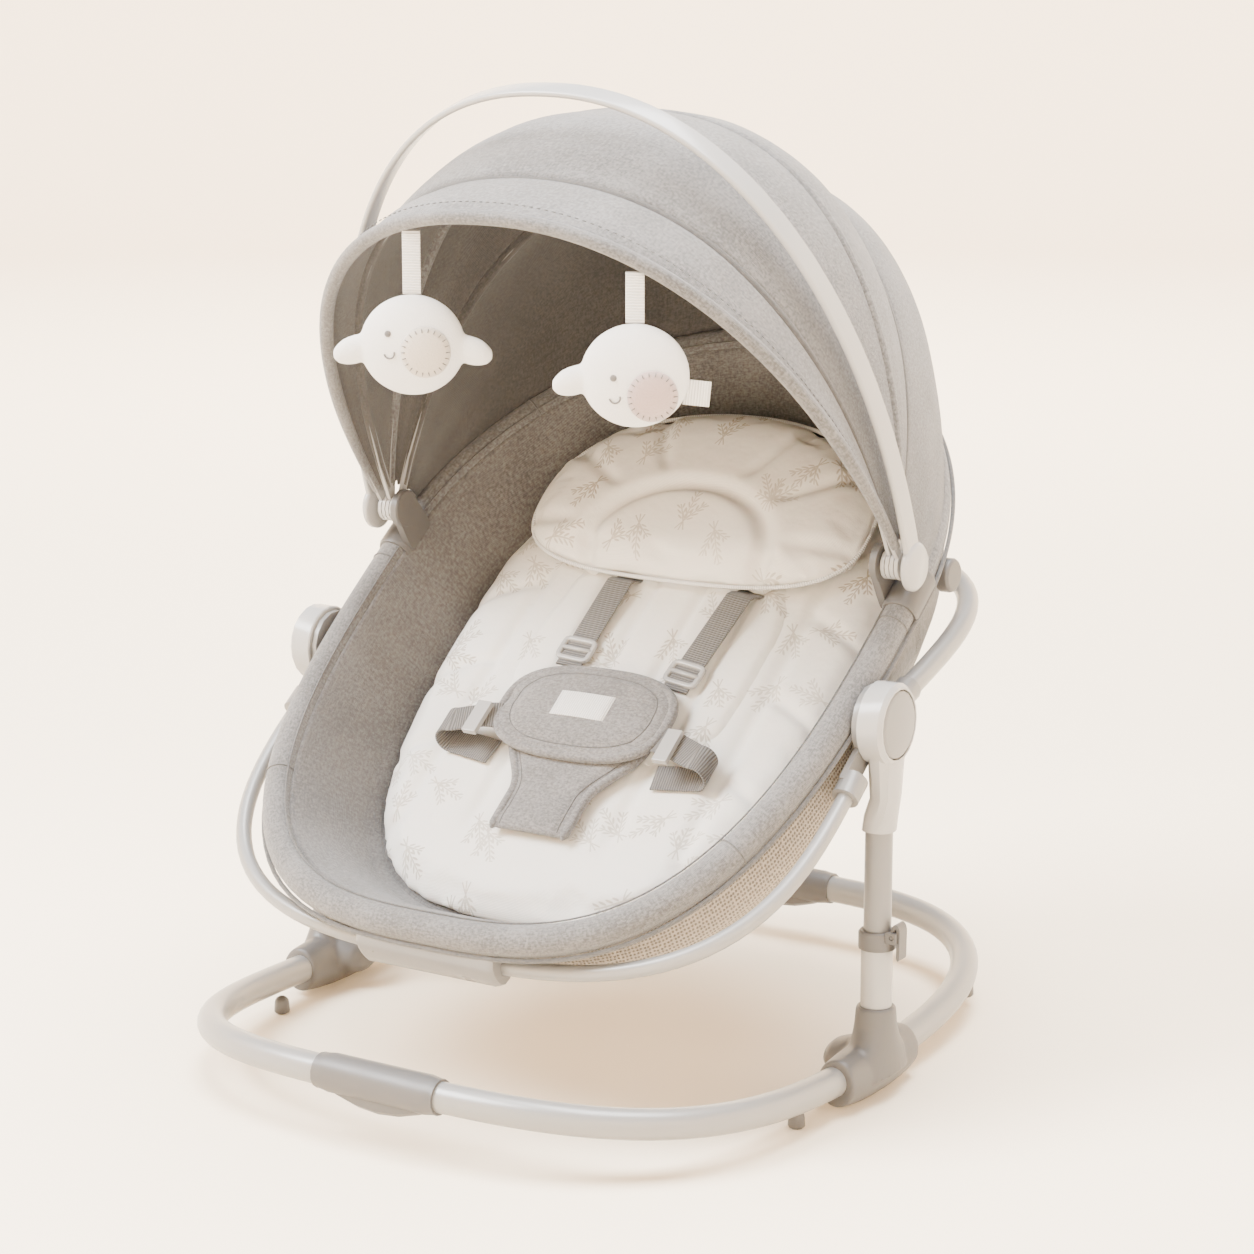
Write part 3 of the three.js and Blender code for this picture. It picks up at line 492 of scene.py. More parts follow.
def plastic(name, color, roughness, grain=0.04):
    """Moulded plastic with a fine orange-peel skin and slightly uneven gloss."""
    g = Graph(name, color, roughness)
    g.set(g.shader, "Specular IOR Level", 0.5)
    place_on = g.coords("Object")
    uneven = g.noise(place_on, 35, 3.0)
    spark = g.noise(place_on, 1400, 2.0)
    g.color(g.mix(g.math("MULTIPLY", uneven, 0.18), color, tuple(0.9 * c for c in color)))
    g.set(g.shader, "Roughness", g.math("ADD", g.math("MULTIPLY", uneven, 0.12), roughness - 0.06))
    g.bump(spark, 0.0003, grain)
    return g.material


def painted_tube(name, color):
    """Powder-coated steel tube: satin paint with a faint pebble."""
    g = Graph(name, color, 0.34, 0.15)
    g.set(g.shader, "Coat Weight", 0.25)
    g.set(g.shader, "Coat Roughness", 0.25)
    place_on = g.coords("Object")
    pebble = g.noise(place_on, 900, 2.0)
    uneven = g.noise(place_on, 20, 2.0)
    g.color(g.mix(g.math("MULTIPLY", uneven, 0.15), color, tuple(0.9 * c for c in color)))
    g.set(g.shader, "Roughness", g.math("ADD", g.math("MULTIPLY", uneven, 0.10), 0.29))
    g.bump(pebble, 0.0002, 0.15)
    return g.material


def vent_mesh(name, color):
    """Knitted netting with small round holes."""
    g = Graph(name, color, 0.85)
    place_on = g.coords("UV", (1.0, 1.0, 1.0))
    cell_inputs = {"Vector": place_on, "Scale": 330.0, "Randomness": 0.25}
    cells = g.add("ShaderNodeTexVoronoi", cell_inputs, voronoi_dimensions="2D")
    hole = g.ramp(cells.outputs["Distance"], 0.18, 0.42)
    g.color(g.mix(hole, tuple(0.42 * c for c in color), color))
    g.bump(hole, 0.0011, 0.9)
    return g.material


MATERIALS = {
    "shell": heather_fabric("heather_shell", (0.165, 0.160, 0.158), (0.066, 0.063, 0.062)),
    # Lining: darker than the shell, partly its own darker cloth and partly painted shade for the inside of
    # the hood.
    "lining_painted_shade": heather_fabric("heather_lining_painted_shade", (0.064, 0.058, 0.053), (0.029, 0.026, 0.024)),
    "bolster": heather_fabric("heather_bolster", (0.145, 0.137, 0.132), (0.058, 0.054, 0.052)),
    "pad_grey": heather_fabric("heather_pads", (0.205, 0.198, 0.196), (0.092, 0.088, 0.087), "Object"),
    "piping": heather_fabric("heather_piping", (0.105, 0.101, 0.099), (0.058, 0.056, 0.054)),
    "cotton": printed_cotton("printed_cotton", (0.74, 0.71, 0.665), (0.30, 0.25, 0.19)),
    "webbing": webbing("webbing_grey", (0.165, 0.157, 0.150), (0.070, 0.067, 0.064)),
    "tape": webbing("tape_white", (0.74, 0.73, 0.72), (0.56, 0.55, 0.54)),
    "plush": plush("plush_white", (0.66, 0.65, 0.64)),
    "patch_beige": plush("plush_beige", (0.50, 0.44, 0.37)),
    "patch_pink": plush("plush_pink", (0.38, 0.275, 0.255)),
    "thread": plush("thread_grey", (0.075, 0.065, 0.06)),
    "white": plastic("plastic_white", (0.34, 0.335, 0.33), 0.22),
    "light": plastic("plastic_light_grey", (0.180, 0.175, 0.171), 0.30),
    "grey": plastic("plastic_grey", (0.090, 0.086, 0.084), 0.42, 0.10),
    "tube": painted_tube("painted_tube", (0.245, 0.240, 0.234)),
    "net": vent_mesh("vent_net", (0.36, 0.31, 0.25)),
}


# ---------- camera, light and floor ----------
def build_camera():
    camera = bpy.data.objects.new("camera", bpy.data.cameras.new("camera"))
    camera.data.sensor_width = 36
    camera.data.lens = 88.66
    camera.data.clip_end = 100
    camera.location = (1.3225, -2.0867, 0.8853)
    camera.rotation_euler = (math.pi / 2 - 0.2151, 0, 0.5556)
    bpy.context.scene.collection.objects.link(camera)
    bpy.context.scene.camera = camera


def build_stage():
    """Floor that curves up into a pale wall all round, far outside the object."""
    flat, height, sides = 7.0, 6.0, 96
    profile = [(0.0, 0.0), (2.0, 0.0), (4.0, 0.0), (flat, 0.0)]
    profile += [(flat + 2.0 * math.sin(a), 2.0 - 2.0 * math.cos(a)) for a in steps(9, 0.15, math.pi / 2)]
    profile.append((flat + 2.0, height))
    vertices = []
    for angle in turns(sides):
        vertices += [(r * math.cos(angle), r * math.sin(angle), z) for r, z in profile]
    width = len(profile)
    faces = []
    for i in range(sides):
        here, after = i * width, ((i + 1) % sides) * width
        faces += [(here + j, after + j, after + j + 1, here + j + 1) for j in range(width - 1)]
    floor = make_object("studio_floor", vertices, faces)
    g = Graph("studio_cream", (0.95, 0.82, 0.65), 0.95)
    g.set(g.shader, "Specular IOR Level", 0.1)
    floor.data.materials.append(g.material)


def add_area_light(name, location, target, size, power, color):
    light = bpy.data.objects.new(name, bpy.data.lights.new(name, "AREA"))
    light.data.size = size
    light.data.energy = power
    light.data.color = color
    light.location = location
    light.rotation_euler = (Vector(target) - Vector(location)).to_track_quat("-Z", "Y").to_euler()
    bpy.context.scene.collection.objects.link(light)


def build_lights():
    world = bpy.context.scene.world or bpy.data.worlds.new("world")
    bpy.context.scene.world = world
    world.use_nodes = True
    background = world.node_tree.nodes["Background"]
    background.inputs[0].default_value = (1.0, 0.99, 0.98, 1)
    background.inputs[1].default_value = 0.6
    middle = (0, 0, 0.35)
    add_area_light("key", (-1.8, -1.8, 3.0), middle, 1.8, 440, (0.965, 0.98, 1.0))
    add_area_light("fill", (2.6, -1.4, 1.7), middle, 2.6, 30, (0.97, 0.985, 1.0))
    add_area_light("top", (0.2, 0.3, 3.4), middle, 2.4, 430, (0.965, 0.98, 1.0))
    for quarter in range(4):
        turn = quarter * math.pi / 2 + 0.55
        place_at = (3.4 * math.cos(turn), 3.4 * math.sin(turn), 4.2)
        wall = (8.5 * math.cos(turn), 8.5 * math.sin(turn), 1.2)
        add_area_light(f"wall_{quarter}", place_at, wall, 3.5, 1150, (1.0, 0.97, 0.93))


# ---------- base, posts and cradle ----------
def rail_path(side, count=72):
    limit = math.radians(88.6)
    points = []
    for angle in steps(count, -limit, limit):
        radius = super_radius(angle, BASE_WIDTH, BASE_LENGTH, BASE_POWER)
        y = radius * math.sin(angle)
        z = RAIL_LOW + RAIL_RISE * (y / BASE_LENGTH) ** 2
        points.append(Vector((side * radius * math.cos(angle), y, z)))
    return points


def cradle_path(kind, count=72):
    """Centre line of one bent cradle tube, from the right-hand socket to the left-hand one."""
    points = []
    for angle in steps(count, 0, math.pi):
        if kind == "foot":
            start = HUB_S - 0.058
            radius = super_radius(angle, 0.264, 0.398 + start, 3.0)
            points.append(seat_point(radius * math.cos(angle), start - radius * math.sin(angle), -0.025))
        else:
            radius = super_radius(angle, 0.264, 0.279 - 0.044, 3.8)
            out = 0.044 + radius * math.sin(angle)
            tilt = math.radians(-19.7)
            s, n = HUB_S + out * math.cos(tilt), HUB_N + out * math.sin(tilt)
            points.append(seat_point(radius * math.cos(angle), s, n))
    return points


def build_tubes():
    for name, side in SIDES.items():
        rail = sweep(f"base_rail_{name}_tube", rail_path(side), circle(RAIL_RADIUS, 24), Vector((0, 0, 1)))
        place(rail, "base", MATERIALS["tube"], [f"base_rail_{name}"])
    for kind, radius in {"foot": FOOT_TUBE_RADIUS, "head": HEAD_TUBE_RADIUS}.items():
        path = cradle_path(kind)
        middle = path[len(path) // 2]
        up = (path[0] - middle).cross(path[-1] - middle).normalized()
        tube = sweep(f"{kind}_cradle_tube", path, circle(radius, 20), up)
        place(tube, "seat", MATERIALS["tube"], [f"{kind}_tube"])


POST_X = 0.268                                  # centre of each post, sideways
SADDLE_BORE = 0.0128
SADDLE_BORE_BOTTOM = 0.0417
SADDLE_BORE_TOP = 0.090


def rail_point(side, y):
    """Centre of the base rail at a given y."""
    along = abs(y / BASE_LENGTH) ** BASE_POWER
    x = BASE_WIDTH * (1 - along) ** (1 / BASE_POWER)
    return Vector((side * x, y, RAIL_LOW + RAIL_RISE * (y / BASE_LENGTH) ** 2))


def flat_ring(x, y, z, half_x, half_y, count=32):
    ring = []
    for angle in turns(count):
        ring.append(Vector((x + half_x * math.cos(angle), y + half_y * math.sin(angle), z)))
    return ring


def build_saddle(name, side):
    """Moulded foot of the post: a sleeve over the rail, a neck and an inward wing, blended together."""
    up = Vector((0, 0, 1))
    ends = steps(15, -1, 1)
    path = [rail_point(side, HUB.y + 0.056 * t) + Vector((side * 0.002, 0, -0.0015)) for t in ends]
    section = [(0.0195 * a, 0.0225 * b) for a, b in circle(1.0, 32)]
    sleeve = sweep("sleeve", path, section, up, scale=lambda t: 1 - 0.16 * abs(2 * t - 1) ** 2.5)
    neck_rows = [
        (0.020, 0.0190, 0.044), (0.036, 0.0185, 0.036), (0.048, 0.0175, 0.025),
        (0.060, 0.0165, 0.0185), (0.075, 0.0158, 0.0160),
    ]
    neck = loft("neck", [flat_ring(side * POST_X, HUB.y, z, a, b) for z, a, b in neck_rows])
    wing_rows = [
        (0.262, 0.027, 0.020), (0.246, 0.025, 0.018),
        (0.234, 0.020, 0.014), (0.2275, 0.012, 0.008),
    ]
    wing_rings = []
    for x, half_y, half_z in wing_rows:
        ring = [Vector((side * x, HUB.y + half_y * a, 0.0275 + half_z * b)) for a, b in circle(1.0, 32)]
        wing_rings.append(ring)
    saddle = join(f"post_saddle_{name}", sleeve, neck, loft("wing", wing_rings))
    add_modifier(saddle, "REMESH", mode="VOXEL", voxel_size=0.0016)
    smooth(apply_modifiers(saddle), 10)
    bore_ends = (SADDLE_BORE_BOTTOM, SADDLE_BORE_TOP)
    bore_rings = [flat_ring(side * POST_X, HUB.y, z, SADDLE_BORE, SADDLE_BORE, 48) for z in bore_ends]
    bore = loft("saddle_bore", bore_rings)
    add_modifier(saddle, "BOOLEAN", operation="DIFFERENCE", object=bore, solver="EXACT")
    apply_modifiers(saddle)
    bpy.data.objects.remove(bore)
    place(saddle, "base", MATERIALS["grey"], [f"saddle_{name}"])


def finish_cad_nodes():
    """Rigid CAD parts stay as they are, with rounded edges and their own materials; the posts' darker
    plastic is partly painted shade.
    """
    looks = {
        "white_plastic": "white", "light_plastic": "light",
        # Painted-tube nodes that stay, such as the posts, take the darker light-grey plastic: partly their
        # own grey, partly painted shade for their side-facing surfaces.
        "grey_plastic": "grey", "painted_tube": "light",
    }
    slots = {part["node"]: part["material_slot"] for part in frame["record"]["subparts"]}
    for name, obj in frame["nodes"].items():
        look = looks.get(slots[name])
        if look is None or obj.hide_render:
            continue
        obj.data.materials.clear()
        obj.data.materials.append(MATERIALS[look])
        obj.data.polygons.foreach_set("use_smooth", [True] * len(obj.data.polygons))
        corner = math.radians(38)
        add_modifier(obj, "WELD", merge_threshold=0.00002)
        add_modifier(obj, "BEVEL", width=0.0007, segments=2, limit_method="ANGLE", angle_limit=corner)
        add_modifier(obj, "WEIGHTED_NORMAL", keep_sharp=True)


# ---------- seat tub ----------
def rim_path(count=160):
    return [seat_point(*egg(angle, RIM_WIDTH, RIM_FOOT, RIM_HEAD), 0) for angle in turns(count)]


def build_rim():
    roll = sweep("rim_roll_cover", rim_path(), circle(RIM_ROLL, 24), OFF, closed=True)
    place(roll, "seat", MATERIALS["shell"], ["rim_roll"])
    lines = {
        "rim_piping_outer": (RIM_ROLL + 0.001, -0.006, 0.0019),
        "rim_stitch_inner": (-RIM_ROLL + 0.003, 0.0095, 0.0007),
    }
    for name, (outward, lift, radius) in lines.items():
        path = []
        for angle in turns(SEAM_POINTS):
            x, s = egg(angle, RIM_WIDTH + outward, RIM_FOOT + outward, RIM_HEAD + outward)
            path.append(seat_point(x, s, lift))
        line = sweep(name, path, circle(radius, 8), OFF, closed=True)
        place(line, "seat", MATERIALS["piping"])


def build_rim_seams():
    """Sewn joints of the rim cover, each a thin ring round the roll."""
    seams = []
    for degrees in (-128, -52, -8, 188, 40, 140):
        here, after = (math.radians(degrees + step) for step in (0, 0.5))
        centre = seat_point(*egg(here, RIM_WIDTH, RIM_FOOT, RIM_HEAD), 0)
        along = (seat_point(*egg(after, RIM_WIDTH, RIM_FOOT, RIM_HEAD), 0) - centre).normalized()
        out = along.cross(OFF).normalized()
        ring = [centre + a * out + b * OFF for a, b in circle(RIM_ROLL + 0.0002, 32)]
        seams.append(sweep("seam", ring, circle(0.0007, 6), along, closed=True))
    place(join("rim_seams", *seams), "seat", MATERIALS["piping"])


def tub_wall(rows, name, swell=0.0):
    """Sheet round the whole tub through rows of [half width, foot, head, depth]."""
    def point_at(u, v):
        angle = 2 * math.pi * u
        position = v * (len(rows) - 1)
        first = min(int(position), len(rows) - 2)
        t = position - first
        mixed = [a + (b - a) * t for a, b in zip(rows[first], rows[first + 1])]
        width, foot, head, depth = mixed
        puff = swell * math.sin(math.pi * v)
        x, s = egg(angle, width - puff, foot - puff, head - puff)
        return seat_point(x, s, tub_depth(depth, s))
    return surface(name, point_at, 160, 6 * (len(rows) - 1), wrap=True)


def build_tub():
    inner_rows = [
        (0.2370, 0.3840, 0.2670, 0.002), (0.2310, 0.3700, 0.2600, -0.020),
        (0.2250, 0.3580, 0.2520, -0.046), (0.2150, 0.3460, 0.2410, -0.074),
        (0.2040, 0.3320, 0.2300, -0.088), (0.1600, 0.2700, 0.2000, -0.0905),
    ]
    bolster = tub_wall(inner_rows, "tub_bolster", 0.006)
    place(thicken(bolster, 0.004), "seat", MATERIALS["bolster"], ["basket"])
    outer_rows = [
        (0.2480, 0.3860, 0.2780, -0.010), (0.2470, 0.3850, 0.2770, -0.030),
        (0.2400, 0.3780, 0.2680, -0.060), (0.2240, 0.3600, 0.2520, -0.090),
        (0.1960, 0.3220, 0.2260, -0.113), (0.1400, 0.2300, 0.1800, -0.121),
        (0.0300, 0.0500, 0.0400, -0.124), (0.0001, 0.0001, 0.0001, -0.124),
    ]
    shell = tub_wall(outer_rows, "tub_shell")
    place(thicken(shell, 0.0015), "seat", MATERIALS["shell"])
    for name, side in SIDES.items():
        build_vent(name, side)
    build_wall_seams()


def build_vent(name, side):
    """Netting panel along the lower side of the tub, from the hub down to the foot."""
    def point_at(u, v):
        angle = math.radians(-78 + 62 * u)
        depth = -0.020 - 0.058 * v * (1 - 0.8 * smooth_step((u - 0.76) / 0.24))
        bulge = 0.010 * math.sin(math.pi * v) * math.sin(math.pi * u) + 0.0015
        shrink = 0.060 * smooth_step((v - 0.35) / 1.3)
        x, s = egg(angle, 0.2475 + bulge - shrink * 0.6, 0.3855 + bulge - shrink * 0.6, 0.277)
        return seat_point(side * x, s, depth)
    net = surface(f"vent_net_{name}", point_at, 60, 14)
    place(thicken(net, 0.0012), "seat", MATERIALS["net"])


def build_wall_seams():
    """Stitched band round the upper part of the bolster."""
    band = []
    for angle in turns(SEAM_POINTS):
        x, s = egg(angle, 0.2262, 0.3650, 0.2550)
        band.append(seat_point(x, s, tub_depth(-0.026, s)))
    seam = sweep("bolster_band", band, circle(0.0011, 8), OFF, closed=True)
    place(seam, "seat", MATERIALS["piping"])


# ---------- seat pad, pillow and harness ----------
def seat_ring(x, s, half_width, half_length, height, power=2.6, count=48, bottom=-0.0505):
    ring = []
    for angle in turns(count, 0.5):
        radius = super_radius(angle, half_width, half_length, power)
        px, ps = x + radius * math.cos(angle), s + radius * math.sin(angle)
        ring.append(seat_point(px, ps, tub_depth(bottom, ps) + height))
    return ring


def build_seat_pad():
    rows = [
        (0.060, 0.090, 0.070, -0.0905), (0.176, 0.290, 0.200, -0.0898), (0.200, 0.326, 0.218, -0.086),
        (0.206, 0.333, 0.222, -0.078), (0.200, 0.326, 0.217, -0.070), (0.170, 0.290, 0.195, -0.0655),
        (0.060, 0.090, 0.070, -0.063),
    ]
    rings = []
    for width, foot, head, depth in rows:
        outline = [egg(angle, width, foot, head) for angle in turns(72, 0.5)]
        rings.append([seat_point(x, s, tub_depth(depth, s)) for x, s in outline])
    pad = inflate(loft("seat_pad_cotton", rings), 0.0055, 4.0, 0.008)

    def sew(x, s, n):
        """Quilted lines: a border, two long channels and short puckers."""
        if n < tub_depth(-0.080, s):
            return 0.0
        channels = sum(groove(abs(x) - place_at, 0.0055, 0.006) for place_at in (0.066, 0.132))
        cross = sum(groove(s - row + 1.6 * x * x, 0.0045, 0.006) for row in (-0.225, -0.135, -0.045, 0.045))
        return channels * smooth_step((s + 0.27) / 0.05) + cross * smooth_step((abs(x) - 0.125) / 0.02)

    press(pad, sew)
    place(subdivide(pad), "seat", MATERIALS["cotton"], ["seat_pad"])


def build_body_cushion():
    """Narrower padded insert on the seat pad, from under the pillow to the waist."""
    heights = [(0.4, -0.004), (0.92, -0.003), (1.0, 0.001), (0.95, 0.005), (0.6, 0.007)]
    rings = [seat_ring(0.005, -0.050, 0.120 * k, 0.120 * k, h, 3.6, 64, -0.0605) for k, h in heights]
    cushion = inflate(loft("body_cushion", rings), 0.004, 3.0, 0.004)

    def sew(x, s, n):
        channels = sum(groove(abs(x - 0.005) - place_at, 0.005, 0.0045) for place_at in (0.024, 0.070))
        return channels * smooth_step((0.105 - abs(s + 0.050)) / 0.02)

    press(cushion, sew)
    place(subdivide(cushion), "seat", MATERIALS["cotton"])


def pillow_ring(scale, height, count=64):
    """Outline of the head support: nearly straight along its lower edge, domed at the top."""
    ring = []
    for angle in turns(count, 0.5):
        is_top = math.sin(angle) > 0
        radius = super_radius(angle, 0.163, 0.110 if is_top else 0.076, 2.1 if is_top else 3.0)
        x, s = scale * radius * math.cos(angle), 0.094 + scale * radius * math.sin(angle)
        ring.append(seat_point(x, s, tub_depth(-0.0505, s) + height))
    return ring


def build_pillow():
    """Crescent head support with a small arched cushion set into its lower edge."""
    heights = [
        (0.3, -0.004), (0.93, -0.002), (1.02, 0.008), (1.02, 0.017),
        (0.92, 0.026), (0.62, 0.031), (0.2, 0.032),
    ]
    pillow = inflate(loft("head_pillow_cotton", [pillow_ring(*row) for row in heights]), 0.0045, 4.0, 0.006)

    def sew(x, s, n):
        oval = math.hypot(x / 0.086, (s - 0.040) / 0.066)
        ring = groove((oval - 1) * 0.06, 0.0100, 0.0055)
        dish = -0.004 * smooth_step(1.1 - oval)
        turn = math.atan2(s - 0.040, abs(x))
        tucks = sum(groove((turn - at) * 0.10, 0.0050, 0.005) for at in (0.15, 0.62, 1.10))
        return ring + dish + tucks * smooth_step((oval - 1.15) / 0.3) if n > -0.044 else 0.0

    press(pillow, sew)
    place(subdivide(pillow), "seat", MATERIALS["cotton"], ["head_pillow"])
    piping = sweep("pillow_piping", pillow_ring(1.0, 0.012, 120), circle(0.0018, 8), OFF, closed=True)
    place(piping, "seat", MATERIALS["tape"])


STITCH_SHADE_RADIUS = 0.0006                                 # radius of the dark sewn line on the harness pads, partly thread and partly painted shade of the stitched groove
BELLY_CENTRE = (-0.004, -0.136)
BELLY_SIZE = (0.0795, 0.0455)
BELLY_POWER = 2.7


def build_belly_pad():
    """Oval waist pad with a rolled binding, a dark line of stitching inside it, partly painted shade of the
    stitched groove, and a blank label.
    """

    def oval(scale, height, count=48):
        width, length = (scale * size for size in BELLY_SIZE)
        return seat_ring(*BELLY_CENTRE, width, length, height, BELLY_POWER, count, -0.0425)

    heights = [(0.3, 0.0), (0.96, 0.0), (1.03, 0.004), (0.98, 0.008), (0.6, 0.0105)]
    pad = inflate(loft("belly_pad_cover", [oval(*row) for row in heights]), 0.003, 2.0, 0.002)

    def sew(x, s, n):
        across = abs(x - BELLY_CENTRE[0]) / BELLY_SIZE[0]
        along = abs(s - BELLY_CENTRE[1]) / BELLY_SIZE[1]
        reach = (across ** BELLY_POWER + along ** BELLY_POWER) ** (1 / BELLY_POWER)
        return groove((reach - 0.83) * 0.06, 0.0015, 0.0022)

    press(pad, sew)
    place(subdivide(pad), "seat", MATERIALS["pad_grey"], ["belly_pad"])
    # Dark thread laid in the groove: partly the stitching, partly painted shade of the stitched groove.
    sewn = laid_on(pad, oval(0.83, 0.010, 120))
    thread = sweep("belly_pad_stitch_shade_line", sewn, circle(STITCH_SHADE_RADIUS, 6), OFF, closed=True)
    place(thread, "seat", MATERIALS["piping"])
    roll = [(0.0046 * a, 0.0042 * b) for a, b in circle(1.0, 14)]
    edge = sweep("belly_pad_binding", oval(0.985, 0.0044, 96), roll, OFF, closed=True)
    place(edge, "seat", MATERIALS["pad_grey"])
    path = [seat_point(x, -0.134, -0.0294 - 1.2 * (x + 0.004) ** 2) for x in steps(9, -0.030, 0.022)]
    label = sweep("blank_label", path, rounded_bar(0.026, 0.0010), OFF)
    place(label, "seat", MATERIALS["tape"])


CROTCH_CENTRE = (-0.001, -0.0478)               # sideways, and off the seat plane
CROTCH_ENDS = (-0.257, -0.108)


def crotch_half_width(s):
    """Half the width of the crotch pad, which flares where it meets the waist pad."""
    return 0.0370 + 0.0290 * smooth_step((s + 0.218) / 0.062)


def build_crotch_pad():
    """Flared strap pad with a rolled binding down each side and a dark sewn line beside it, partly painted
    shade of the stitched groove.
    """
    middle, level = CROTCH_CENTRE
    rings = []
    for s in steps(14, *CROTCH_ENDS):
        section = rounded_bar(2 * crotch_half_width(s), 0.0062, 0.48)
        rings.append([seat_point(middle + a, s, level + b) for a, b in section])
    pad = inflate(loft("crotch_pad_cover", rings), 0.0035, 2.0, 0.0025)

    def sew(x, s, n):
        inward = crotch_half_width(s) - abs(x - middle) - 0.0095
        return groove(inward, 0.0014, 0.0022)

    press(pad, sew)
    place(subdivide(pad), "seat", MATERIALS["pad_grey"], ["crotch_pad"])
    roll = [(0.0040 * a, 0.0038 * b) for a, b in circle(1.0, 12)]
    bindings, stitch_shade_lines = [], []
    for side in SIDES.values():
        edge, sewn = [], []
        for s in steps(24, CROTCH_ENDS[0], -0.150):
            half_width = crotch_half_width(s)
            edge.append(seat_point(middle + side * (half_width - 0.0030), s, level + 0.0004))
            sewn.append(seat_point(middle + side * (half_width - 0.0095), s, level))
        bindings.append(sweep("binding", edge, roll, OFF, scale=tapered_tip))
        # Dark thread laid in each groove: partly the stitching, partly painted shade of the stitched
        # groove.
        stitch_shade_lines.append(sweep("thread", laid_on(pad, sewn[1:]), circle(STITCH_SHADE_RADIUS, 6), OFF))
    place(join("crotch_pad_stitch_shade_line", *stitch_shade_lines), "seat", MATERIALS["piping"])
    place(join("crotch_pad_binding", *bindings), "seat", MATERIALS["pad_grey"])


def tapered_tip(t):
    """Size of a binding along it, closing round its lower end."""
    return 0.35 + 0.65 * smooth_step(t / 0.05)


STRAPS = {
    "left": ((-0.0439, 0.018, -0.0381), (-0.052, -0.082, -0.0468)),
    "right": ((0.0746, 0.017, -0.0377), (0.057, -0.092, -0.0468)),
}


def build_slider(name, start, along, off):
    """Tri-glide adjuster: a rounded frame with one bar across it, threaded on the strap."""
    across = along.cross(off).normalized()
    middle = start + 0.017 * along + 0.0012 * off
    outline = []
    for angle in turns(48):
        radius = super_radius(angle, 0.0150, 0.0098, 7)
        outline.append(middle + radius * math.cos(angle) * across + radius * math.sin(angle) * along)
    frame_ring = sweep("ring", outline, rounded_bar(0.0046, 0.0042), off, closed=True)
    bar_ends = [middle + 0.0006 * off + k * 0.0150 * across for k in (-1, 1)]
    bar = sweep("bar", bar_ends, rounded_bar(0.0036, 0.0034), off)
    slider = join(f"strap_glide_{name}", frame_ring, bar)
    place(slider, f"slider_{name}", MATERIALS["white"], [f"strap_slider_{name}"])


def build_straps():
    for name, (top, bottom) in STRAPS.items():
        start, end = seat_point(*bottom), seat_point(*top)
        path = []
        for t in steps(24, 0, 1.07):
            dip = 0.012 * smooth_step((t - 0.93) / 0.14)
            path.append(start.lerp(end, t) - dip * OFF)
        strap = sweep(f"shoulder_webbing_{name}", path, rounded_bar(0.025, 0.002), OFF)
        place(strap, "seat", MATERIALS["webbing"], [f"shoulder_strap_{name}"])
        build_slider(name, start, (end - start).normalized(), OFF)
    for name, side in SIDES.items():
        path = []
        for t in steps(14):
            n = -0.0405 + 0.0075 * smooth_step(2.2 * t)
            path.append(seat_point(side * (0.066 + 0.050 * t), -0.148 - 0.018 * t, n))
        for angle in steps(16, math.pi / 2, -math.pi / 2):
            s = -0.166 - 0.003 * (1 - math.sin(angle))
            x = 0.118 + 0.011 * math.cos(angle)
            path.append(seat_point(side * x, s, -0.0435 + 0.0105 * math.sin(angle)))
        for t in steps(8, 0.1, 1):
            path.append(seat_point(side * (0.118 - 0.040 * t), -0.172 - 0.006 * t, -0.0540 + 0.001 * t))
        across = SEAT.to_3x3() @ Vector((0, 1, 0))
        section = [(b, a) for a, b in rounded_bar(0.025, 0.002)]
        loop = sweep(f"waist_webbing_{name}", path, section, across)
        place(loop, "seat", MATERIALS["webbing"], [f"waist_strap_{name}"])


# ---------- canopy ----------
def rim_edge(angle):
    """Where the hood's tail meets the rim, at the head end."""
    x, s = egg(angle, RIM_WIDTH + 0.009, RIM_FOOT, RIM_HEAD + 0.009)
    return seat_point(x, s, 0.007)


def polar(p):
    """x, distance from the canopy hinge axis, and angle about it."""
    y, z = p.y - HINGE.y, p.z - HINGE.z
    return p.x, math.hypot(y, z), math.atan2(z, y)


CLOTH_LIFT = 0.0032
OPEN_ANGLE = math.radians(5)
PANELS = {                                      # bow in front, bow behind, swell, rows of faces
    "canopy_brow": ("front", "second", 0.004, 8),
    "canopy_top": ("second", "middle", 0.018, 16),
    "canopy_back": ("middle", "rear", 0.040, 12),
    "canopy_tail": ("rear", None, 0.150, 22),
}
PANEL_BODIES = {
    "canopy_brow": ("second_bow", "front_bow"),
    "canopy_top": ("middle_bow", "second_bow"),
    "canopy_back": ("rear_bow", "middle_bow"),
    "canopy_tail": ("seat", "rear_bow"),
}


def panel_point(first, second, swell):
    def edge(name, angle):
        return polar(arch_point(BOWS[name], angle, CLOTH_LIFT) if name else rim_edge(angle))

    def point_at(u, v):
        angle = OPEN_ANGLE + u * (math.pi - 2 * OPEN_ANGLE)
        x0, r0, a0 = edge(first, angle)
        x1, r1, a1 = edge(second, angle)
        crease = 1 + swell * math.sin(math.pi * v) ** 0.8 * math.sin(angle) ** 0.7
        ripple = 0.0012 * noise.noise(Vector((u * 9, v * 5, first == "front")))
        gather = (1 - math.sin(angle)) ** 1.5 * math.sin(math.pi * v)
        ripple += 0.0035 * gather * math.sin(2 * math.pi * (2.5 * v + 0.3 * math.cos(angle)))
        radius = (r0 + (r1 - r0) * v) * crease + ripple
        turn = a0 + (a1 - a0) * v
        y, z = HINGE.y + radius * math.cos(turn), HINGE.z + radius * math.sin(turn)
        return Vector((x0 + (x1 - x0) * v, y, z))
    return point_at


